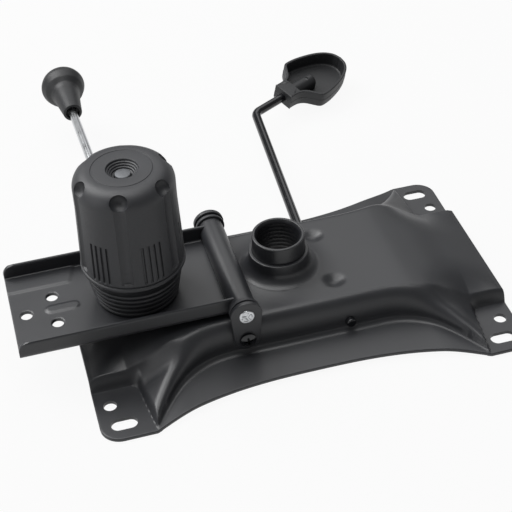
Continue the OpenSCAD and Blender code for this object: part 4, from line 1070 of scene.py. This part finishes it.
def knob_angles(sectors, g, q):
    """Angles round the knob, close together at the edges of the grooves, half-width g, and of the slits,
    half-width q, and wide apart between them."""
    one = [0, 1.8, 3.6, g - 1.2, g - 0.7, g - 0.35, g, g + 0.35, g + 0.8, g + 1.8, 12.5, 15.0, 17.2]
    for mid in (SECTOR - 1.5 * SLIT_GAP, SECTOR - 0.5 * SLIT_GAP):
        for d in (q - 0.35, q, q + 0.35, q + 0.9):
            one += [mid - d, mid + d]
        one.append(mid)
    one += [SECTOR - SLIT_GAP, SECTOR]
    half = np.unique(np.round([a for a in one if a <= SECTOR], 3))
    sector = np.concatenate([half, 2 * SECTOR - half[-2:0:-1]]) * (6 / sectors)
    return np.concatenate([sector + i * 360 / sectors for i in range(sectors)])


def spun(points, angle):
    """Points turned round the Z axis by an angle a: (x cos a - y sin a, x sin a + y cos a)."""
    x, y, z = points[..., 0], points[..., 1], points[..., 2]
    return np.stack([x * np.cos(angle) - y * np.sin(angle), x * np.sin(angle) + y * np.cos(angle), z], -1)


class MECH_OT_knob(Operator):
    """Spring knob: a moulded cap with scalloped shoulder, grooves, grip slits and a stepped hole"""

    bl_idname = "mech.knob"
    bl_label = "Spring knob"

    def execute(self, context):
        b, k = sizes(context, "back", "spring")
        rim, top, r, big = k.knob_z - k.knob_h, k.knob_z, k.knob_top_d / 2, k.knob_d / 2
        shoulder, flank = r - k.shoulder, big - r - 0.5

        def side_r(z):
            # the side widens by flank from 24 below the top down to the rim
            return r + flank * share((top - 24 - z) / (k.knob_h - 28))

        # outer side: rim band, then the flank in rising heights, close together where slits and grooves end
        heights = [(rim + 4.2, rim + 8, 12), (rim + 8, rim + 30, 14), (rim + 30, rim + 35, 12)]
        heights = stations(*heights, (rim + 35, top - 18, 12), (top - 18, top - k.shoulder, 10))
        band = [(big - 1.9, rim), (big, rim), (big, rim + 2.3), (big - 1.5, rim + 2.9)]
        band = rounded([*band, (side_r(rim + 4.2), rim + 4.2)], [0.4, 0.9, 0.9, 0.25, 0], 5)
        a = np.linspace(0, np.pi / 2, 34)[1:]
        arc = (shoulder, top - k.shoulder) + k.shoulder * np.column_stack([np.cos(a), np.sin(a)])
        # a fine ring is pressed in the top, and the hole goes down in four small steps round the bolt's end
        steps = []
        for i in range(4):
            steps += [(10.0 - i, top - 0.4 - 1.3 * i), (9.8 - i, top - 1.4 - 1.3 * i)]
        steps.append((5.4, top - 5.6))
        face = [(shoulder - 0.3, top), (19.6, top), (19.3, top - 0.35), (18.7, top - 0.35), (18.4, top)]
        face = [*face, (10.4, top), *steps, (5.4, top - 10.6)]
        face = rounded(face, [0, 0.15, 0.1, 0.1, 0.15, 0.3] + [0.12] * len(steps) + [0], 3)
        inside = [(5.4, 111.1), (13, 111.1), (13, top - 4.2), (22.5, top - 4.2), (big - 4.8, top - 13)]
        inside += [(big - 4.8, rim + 18), (big - 2.4, rim + 14), (big - 2.4, rim)]
        inside = rounded(inside, [0, 0.5, 2, 2, 2, 1, 1, 0.4], 4)
        flank_line = np.column_stack([side_r(heights), heights])[1:]
        profile = np.concatenate([band, flank_line, arc, face, inside])
        outer = len(band) + len(flank_line) + len(arc)
        row = np.arange(len(profile))[:, None]
        slit_half, groove_half = np.degrees(SLIT_HALF / r), np.degrees(GROOVE_HALF / r)
        deg = knob_angles(k.scallops, groove_half, slit_half)[None]
        rr, zz = profile[:, 0, None] + 0 * deg, profile[:, 1, None] + 0 * deg
        half = 180 / k.scallops
        within = (deg + half) % (2 * half) - half
        far = np.abs(within)
        # groove: hollow across as 1 - (angle / half)^2.2, from above the rim band up into the scallop
        groove = share(1 - (far / groove_half) ** 2.2) * soft((zz - rim - 5.4) / 0.7)
        # slits: four in the middle between two grooves, with soft ends
        off = np.abs((far - SECTOR) % SLIT_GAP - SLIT_GAP / 2)
        slit = soft((slit_half - off) / 0.55 + 0.5) * (far > SECTOR - 2 * SLIT_GAP)
        slit = slit * soft((zz - rim - 4.9) / 0.8) * soft((rim + 33.4 - zz) / 0.9)
        cut = (row < outer) & (zz < top - 2)
        rr = rr - cut * (k.groove_deep * groove + k.slit_deep * slit)
        # scallops: each point of the outer side within a ball is moved out to its surface, with a soft edge
        stand = (k.shoulder + BALL_OUT) * np.array([np.cos(BALL_TILT), 0, np.sin(BALL_TILT)])
        ball = (shoulder, 0, top - k.shoulder) + stand
        turn = np.radians(within)
        local = np.stack([rr * np.cos(turn), rr * np.sin(turn), zz], -1)
        dist = np.linalg.norm(local - ball, axis=-1, keepdims=True)
        moved = ball + (local - ball) / dist * soft_max(dist, BALL_R, 0.5)
        local = np.where((row < outer + 2)[..., None], moved, local)
        points = spun(local, np.radians(deg) - turn + KNOB_TURN) + (bolt_place(b, k), 0, 0)
        shell = skin(points, loop=True)
        put_mesh("knob_moulding", shell, "knob", "black_plastic", "moulded_plastic", ["knob_cap"], 38)
        return {"FINISHED"}


# Tilt lock


class MECH_OT_lock(Operator):
    """Tilt lock: plated rod, its guide and the pull knob"""

    bl_idname = "mech.lock"
    bl_label = "Tilt lock"

    def execute(self, context):
        b, k, v = sizes(context, "back", "spring", "lever")
        origin = (bolt_place(b, k), LOCK_ROOT, b.channel_z + b.channel_t + LOCK_UP)
        r, start, reach = v.lock_d / 2, 4.2, v.lock_reach - LOCK_ROOT
        rod = rounded([(0, start), (r, start), (r, reach - 8), (0, reach - 8)], [0, 0.8, 0.4, 0], 5)
        rod = laid(turned(rod, 48), origin, LOCK_ALONG)
        put_mesh("lock_rod_plated", rod, "lock", "zinc_steel", "bright_zinc", ["lock_rod"])
        # pull knob from its outer face back: domed face, round head, waist, and a neck with a hollow mouth
        big = v.lock_knob_d / 2
        head = [(0, 0.0), (8.0, 0.15), (big - 2.2, 1.6), (big, 8.6), (big - 2.6, 15.2), (11.4, 18.6)]
        head += [(10.3, 22.0), (7.2, 47.6), (5.25, 48.0), (5.25, 44.0), (r + 0.02, 43.2), (r + 0.02, 8.1)]
        head = rounded([*head, (0, 8.1)], [0, 14, 5.5, 6.5, 4.5, 4.0, 9.0, 0.8, 0.5, 0.3, 0, 0, 0], 8)
        knob = laid(turned(head, 96), origin + LOCK_ALONG * reach, -LOCK_ALONG)
        # painted shade: the lock knob gets the darker plastic that stands in for less light
        put_mesh("lock_knob_moulding", knob, "lock", "black_plastic", "lever_plastic", ["lock_knob"], 45)
        g = b.channel_w / 2 - b.channel_t - LOCK_ROOT
        guide = [(r + 0.05, g - 0.4), (4.0, g - 0.4), (4.0, g + 2.9), (4.3, g + 2.9), (4.3, g + 7.5)]
        guide = rounded([*guide, (r + 0.05, g + 7.5)], [0.1, 0.4, 0, 0, 0.5, 0.2], 4, closed=True)
        guide = laid(turned(guide, 64, loop=True), origin, LOCK_ALONG)
        # painted shade: the guide gets the darker plastic that stands in for less light
        put_mesh("lock_guide_bush", guide, "back", "black_plastic", "lever_plastic", ["lock_guide"], 45)
        return {"FINISHED"}


# Gas lever

# Stations along the paddle and its half-widths there, as shares of its length and of half its width
PADDLE_AT = np.array([0, 0.1, 0.17, 0.23, 0.29, 0.335, 0.39, 0.51, 0.65, 0.77, 0.86, 0.93, 0.98, 1])
PADDLE_WIDE = np.array([0.39, 0.39, 0.43, 0.55, 0.79, 0.95, 1, 0.975, 0.885, 0.77, 0.64, 0.48, 0.27, 0])
NECK_FROM, BOSS_END = 31.0, 66.0


def through(values, steps):
    """A smooth line through stations: cubic pieces whose slope at each station is half the step between its
    neighbours."""
    v = np.array(values, float)
    p = np.concatenate([v[:1], v, v[-1:]])
    t = np.linspace(0, 1, steps, endpoint=False)[None]
    a, b, c, d = (p[i : i + len(v) - 1, None] for i in range(4))
    cubic = (2 * a - 5 * b + 4 * c - d) * t**2 + (3 * b - a - 3 * c + d) * t**3
    return np.append((0.5 * (2 * b + (c - a) * t + cubic)).ravel(), v[-1])


def paddle_shell(v):
    """The paddle as loops round its outline: bottom, fillet, outer wall, rounded rim, inner wall, fillet and
    floor, each loop the outline moved inwards by a distance and set at a height; near the neck the inner
    loops stop at the hollow's end wall."""
    x = through(PADDLE_WIDE, 9) * v.paddle_w / 2
    y = NECK_FROM + through(PADDLE_AT, 9) * v.paddle_l
    half = np.column_stack([x, y])
    # the neck's front face, then round the outline and back
    front = np.column_stack([np.linspace(0, x[0], 6)[:-1], np.full(5, y[0])])
    right = np.concatenate([front, half])
    outline = np.concatenate([right, right[-2:0:-1] * (-1, 1)])
    across, along = outline.T
    step = np.roll(outline, -1, 0) - np.roll(outline, 1, 0)
    normal = np.column_stack([step[:, 1], -step[:, 0]])
    normal /= np.linalg.norm(normal, axis=1)[:, None]
    low, high = -v.paddle_h / 2, v.paddle_h / 2
    wall, end, tip = v.paddle_t, NECK_FROM + 0.165 * v.paddle_l, NECK_FROM + v.paddle_l

    def ring(inset, z, hollow=0.0):
        p = outline - inset * normal
        p[:, 1] = np.clip(p[:, 1], NECK_FROM + (0 if hollow else min(inset, 1.2)), tip - inset)
        p[:, 0] = np.where((np.abs(across) < 1e-9) | (p[:, 0] * across < 0), 0, p[:, 0])
        if hollow:
            # behind the end wall the loop is drawn together on a line across the hollow
            stop = end + hollow
            back = p[:, 1] < stop
            wide = np.abs(np.interp(stop, half[:, 1], half[:, 0])) - inset
            order = np.clip(along - NECK_FROM, 0, stop - NECK_FROM) / (stop - NECK_FROM)
            in_front = np.abs(across) < x[0] - 1e-6
            part = np.where(in_front, np.abs(across) / x[0] * 0.45, 0.45 + 0.55 * order)
            p[:, 0] = np.where(back, np.sign(across) * part * wide, p[:, 0])
            p[:, 1] = np.where(back, stop, p[:, 1])
        return level(p, z)

    def spine(start, z):
        return level(np.column_stack([0 * across, np.clip(along, start, tip - 12)]), z)

    rows = [spine(NECK_FROM + 4, low)]
    rows += [ring(i, low + h) for i, h in zip(*quarter(1.8))]
    rows += [ring(-0.18, 0.1), ring(-0.18, 0.35), ring(0.0, 0.5)]
    rows += [ring(i, high - h) for h, i in zip(*quarter(0.7))]
    rows += [ring(wall - i, high - h, 0.01) for i, h in zip(*quarter(0.5))]
    floor = low + 2.6
    rows += [ring(wall + 0.3 + i, floor + h, 0.3 + i) for h, i in zip(*quarter(1.6))]
    rows += [spine(end + 4, floor)]
    return skin(np.stack(rows))


def gas_rod(root, kink, bend, short, shaft, start, radius):
    """The lever's rod: a rounded stud beyond the plate's near wall, a gentle kink beyond its far wall, the
    long leg, the bend, and the short leg into the paddle's boss."""
    path = rounded([root - shaft * start, kink, bend, bend + short * (BOSS_END - 4)], [0, 60, 9, 0], 22)
    gaps = np.linalg.norm(np.diff(path, axis=0), axis=1)
    parts = zip(path[:-1], path[1:], gaps)
    fill = [np.linspace(p, q, max(2, int(gap / 4)), endpoint=False) for p, q, gap in parts]
    path = np.concatenate(fill + [path[-1:]])
    thick = radius - 0.2 * soft((kink[1] + 4 - path[:, 1]) / 6)
    # the stud's end is a quarter round of 0.9 in steps
    q = np.linspace(0.12, 1, 6)[:-1] * np.pi / 2
    stud = path[0] - shaft * (0.9 * np.cos(q))[:, None]
    thick = np.concatenate([thick[0] - 0.9 + 0.9 * np.sin(q), thick])
    return swept(np.concatenate([stud, path]), thick, 32)


def paddle_boss(v):
    """Boss over the rod's end: a half-round ridge with a rounded nose, on a block down to the floor."""
    r, nose, foot = v.gas_d / 2 + 2.4, 2.4, -v.paddle_h / 2 + 0.6
    t = np.linspace(0, np.pi, 21)
    far, near = quarter(nose, 6)
    y, shrink = np.concatenate([[NECK_FROM + 9], BOSS_END - far]), np.concatenate([[0], near])
    section = np.concatenate([np.column_stack([r * np.cos(t), r * np.sin(t)]), [(-r, foot), (r, foot)]])
    rows = []
    for at, d in zip(y, shrink):
        p = section * (1 - d / r)
        p[-2:, 1] = foot
        rows.append(upright(p, at))
    return skin(np.stack(rows), fans=True)


class MECH_OT_gas_lever(Operator):
    """Gas lever: one bent rod from the plate's wall to the paddle, and the hollow moulded paddle"""

    bl_idname = "mech.gas_lever"
    bl_label = "Gas lever"

    def execute(self, context):
        v, s = sizes(context, "lever", "plate")
        half = s.crown_w / 2
        shaft = np.array([-np.sin(GAS_SKEW), np.cos(GAS_SKEW), 0])
        root = np.array([GAS_X, 0, GAS_Z])
        kink = root + shaft * (half + 7)
        bend_x = kink[0] + (GAS_BEND_Y - kink[1]) * np.tan(GAS_SPLAY)
        bend = np.array([bend_x, GAS_BEND_Y, GAS_BEND_Z])
        side = np.array([np.cos(PADDLE_TURN), -np.sin(PADDLE_TURN), 0])
        short = np.array([np.sin(PADDLE_TURN), np.cos(PADDLE_TURN), 0])
        up = np.array([0, 0, 1.0])
        rod = gas_rod(root, kink, bend, short, shaft, half + 2.5, v.gas_d / 2)
        put_mesh("gas_rod_bent", rod, "gas", "black_paint", "black_zinc", ["gas_rod"], 50)
        # the paddle's own axes, rolled about the short leg's direction
        cos, sin = np.cos(PADDLE_ROLL), np.sin(PADDLE_ROLL)
        basis = np.stack([side * cos - up * sin, short, side * sin + up * cos])

        def placed(shell):
            return shell[0] @ basis + bend, shell[1]

        mouth = rounded([(-5, -4.2), (5, -4.2), (5, 4.2), (-5, 4.2)], [1.2] * 4, 4, closed=True)
        recess = skin(np.stack([upright(mouth, NECK_FROM - 2), upright(mouth, NECK_FROM + 3.5)]), fans=True)
        hole = prism(circle(1.6, 32, 0, BOSS_END - 8), 3.6, 20)
        # painted shade: the paddle and its boss get the darker plastic that stands in for less light
        look = ("gas", "black_plastic", "lever_plastic")
        put_mesh("paddle_moulding", placed(paddle_shell(v)), *look, ["gas_paddle"], cutters=[placed(recess)])
        put_mesh("paddle_boss", placed(paddle_boss(v)), *look, cutters=[placed(hole)])
        return {"FINISHED"}


# Pieces kept from the frame, and the stage

KEPT = {
    "powder_coat": ("inner_brace", "bolt_saddle", "lock_tab"),
    "moulded_plastic": ("rest_pad", "gas_bush"),
    "bright_zinc": ("rocker_washer", "thrust_washer", "knob_nut", "lug_nuts", "lock_clip", "button_crank"),
    "black_zinc": ("paddle_screw",),
}


class MECH_OT_kept_pieces(Operator):
    """Gives the pieces kept from the frame their finishes"""

    bl_idname = "mech.kept_pieces"
    bl_label = "Finishes of kept pieces"

    def execute(self, context):
        for finish, nodes in KEPT.items():
            for node in nodes:
                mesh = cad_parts[node].data
                mesh.materials.clear()
                mesh.materials.append(finish_of(finish))
        return {"FINISHED"}


# Floor: half its side, its corners' distance and their rise, the paper's share of light and its own glow
FLOOR_HALF, FLOOR_CORNER, FLOOR_RISE = 4000, 5657, 600
PAPER_SHARE, GLOW_SHARE = 0.42, 0.93
# Light of the grey sky; and each lamp's name, watts, size and place in metres, and what all of them face
SKY = 0.2
LAMPS = (
    ("key_softbox", 32.0, 1.1, (-0.9, 0.75, 1.35)),
    ("back_softbox", 6.5, 1.2, (0.45, 1.0, 1.25)),
    ("top_softbox", 13.0, 1.0, (-0.1, 0.0, 1.6)),
    ("side_softbox", 3.5, 0.7, (-1.3, -0.35, 0.55)),
    ("fill_softbox", 0.3, 1.4, (1.1, -1.2, 1.0)),
)
LIT_POINT = Vector((-0.02, 0.03, 0.04))
# The camera that was fitted to the photograph: lens in millimetres, place in metres and turn in radians
LENS = 91.36
CAMERA_AT = (-0.1733753, -0.63892564, 0.59858965)
CAMERA_TURN = (0.87111139, 0.03670897, -0.27303653)


def paper_floor(shade):
    """Matt white paper that shows the camera most of its white by its own glow."""
    # the eye sees plain white paper; the rest of its white is lit by the lamps and keeps the shadow
    material = bpy.data.materials.new("matt_paper_floor")
    tree = blank(material)
    paper = add(tree, "BsdfDiffuse", {"Color": (*[PAPER_SHARE * c for c in shade], 1), "Roughness": 0.3})
    glow = add(tree, "Emission", {"Color": (1, 1, 1, 1), "Strength": 1.0})
    rays = add(tree, "LightPath").outputs
    seen = add(tree, "Math", links={0: rays["Is Camera Ray"], 1: rays["Is Glossy Ray"]}, operation="MAXIMUM")
    part = add(tree, "Math", {1: GLOW_SHARE}, {0: seen.outputs[0]}, operation="MULTIPLY")
    mix = add(tree, "MixShader", links={0: part.outputs[0], 1: paper.outputs[0], 2: glow.outputs[0]})
    add(tree, "OutputMaterial", links={"Surface": mix.outputs[0]})
    return material


def studio_sky(world):
    """A dim grey sky that the camera sees as white."""
    tree = blank(world)
    rays = add(tree, "LightPath").outputs
    dim = add(tree, "Background", {"Color": (1, 1, 1, 1), "Strength": SKY})
    white = add(tree, "Background", {"Color": (1, 1, 1, 1), "Strength": 1.0})
    links = {0: rays["Is Camera Ray"], 1: dim.outputs[0], 2: white.outputs[0]}
    mix = add(tree, "MixShader", links=links)
    add(tree, "OutputWorld", links={"Surface": mix.outputs[0]})


class MECH_OT_stage(Operator):
    """Pale floor, soft studio lights and the camera at the photograph's angle"""

    bl_idname = "mech.stage"
    bl_label = "Stage"

    def execute(self, context):
        scene = context.scene
        scene.view_settings.view_transform = "Standard"
        # floor: a wide shallow dish, z = 0 in the middle and rising with the fourth power of the distance
        u = np.linspace(-1, 1, 41) * FLOOR_HALF
        x, y = np.meshgrid(u, u, indexing="ij")
        rows = np.stack([x, y, -0.3 + FLOOR_RISE * (np.hypot(x, y) / FLOOR_CORNER) ** 4], -1)
        points, faces = skin(rows, wrap=False)
        mesh = bpy.data.meshes.new("studio_floor")
        mesh.from_pydata((points * MM).tolist(), [], faces)
        mesh.shade_smooth()
        floor = bpy.data.objects.new("studio_floor", mesh)
        scene.collection.objects.link(floor)
        mesh.materials.append(paper_floor(scene.mech_colours.floor))
        scene.world = bpy.data.worlds.new("studio_world")
        studio_sky(scene.world)
        for name, power, size, spot in LAMPS:
            light = bpy.data.lights.new(name, "AREA")
            light.energy, light.size = power, size
            lamp = bpy.data.objects.new(name, light)
            lamp.location = spot
            lamp.rotation_euler = (LIT_POINT - Vector(spot)).to_track_quat("-Z", "Y").to_euler()
            scene.collection.objects.link(lamp)
        eye = bpy.data.cameras.new("camera")
        eye.lens, eye.sensor_width, eye.clip_end = LENS, 36.0, 50.0
        camera = bpy.data.objects.new("camera", eye)
        camera.location, camera.rotation_euler = CAMERA_AT, CAMERA_TURN
        scene.collection.objects.link(camera)
        scene.camera = camera
        return {"FINISHED"}


# Panel, registration and run

PIECES = (
    MECH_OT_seat_plate,
    MECH_OT_socket,
    MECH_OT_hinge,
    MECH_OT_back_channel,
    MECH_OT_spring_cup,
    MECH_OT_spring,
    MECH_OT_bolt,
    MECH_OT_knob,
    MECH_OT_lock,
    MECH_OT_gas_lever,
    MECH_OT_kept_pieces,
    MECH_OT_stage,
)
GROUPS = (
    ("mech_plate", PlateSizes),
    ("mech_back", BackSizes),
    ("mech_spring", SpringSizes),
    ("mech_lever", LeverSizes),
    ("mech_colours", Colours),
)


class MECH_PT_pieces(Panel):
    """Lists the pieces with their sizes and colours"""

    bl_idname = "MECH_PT_pieces"
    bl_label = "Push back mechanism"
    bl_space_type = "VIEW_3D"
    bl_region_type = "UI"
    bl_category = "Mechanism"

    def draw(self, context):
        layout = self.layout
        for key, group in GROUPS:
            box = layout.box()
            box.label(text=group.__doc__.rstrip("."))
            for name in group.__annotations__:
                box.prop(getattr(context.scene, key), name)
        for piece in PIECES:
            layout.operator(piece.bl_idname)


def register():
    """Registers the sizes, the operators and the panel."""
    for key, group in GROUPS:
        bpy.utils.register_class(group)
        setattr(bpy.types.Scene, key, PointerProperty(type=group))
    for item in (*PIECES, MECH_PT_pieces):
        bpy.utils.register_class(item)


def unregister():
    """Takes all of it out again."""
    for item in (MECH_PT_pieces, *PIECES[::-1]):
        bpy.utils.unregister_class(item)
    for key, group in GROUPS[::-1]:
        delattr(bpy.types.Scene, key)
        bpy.utils.unregister_class(group)


def main():
    """Builds every piece and the stage."""
    register()
    for piece in PIECES:
        space, name = piece.bl_idname.split(".")
        getattr(getattr(bpy.ops, space), name)()


if __name__ == "__main__":
    main()
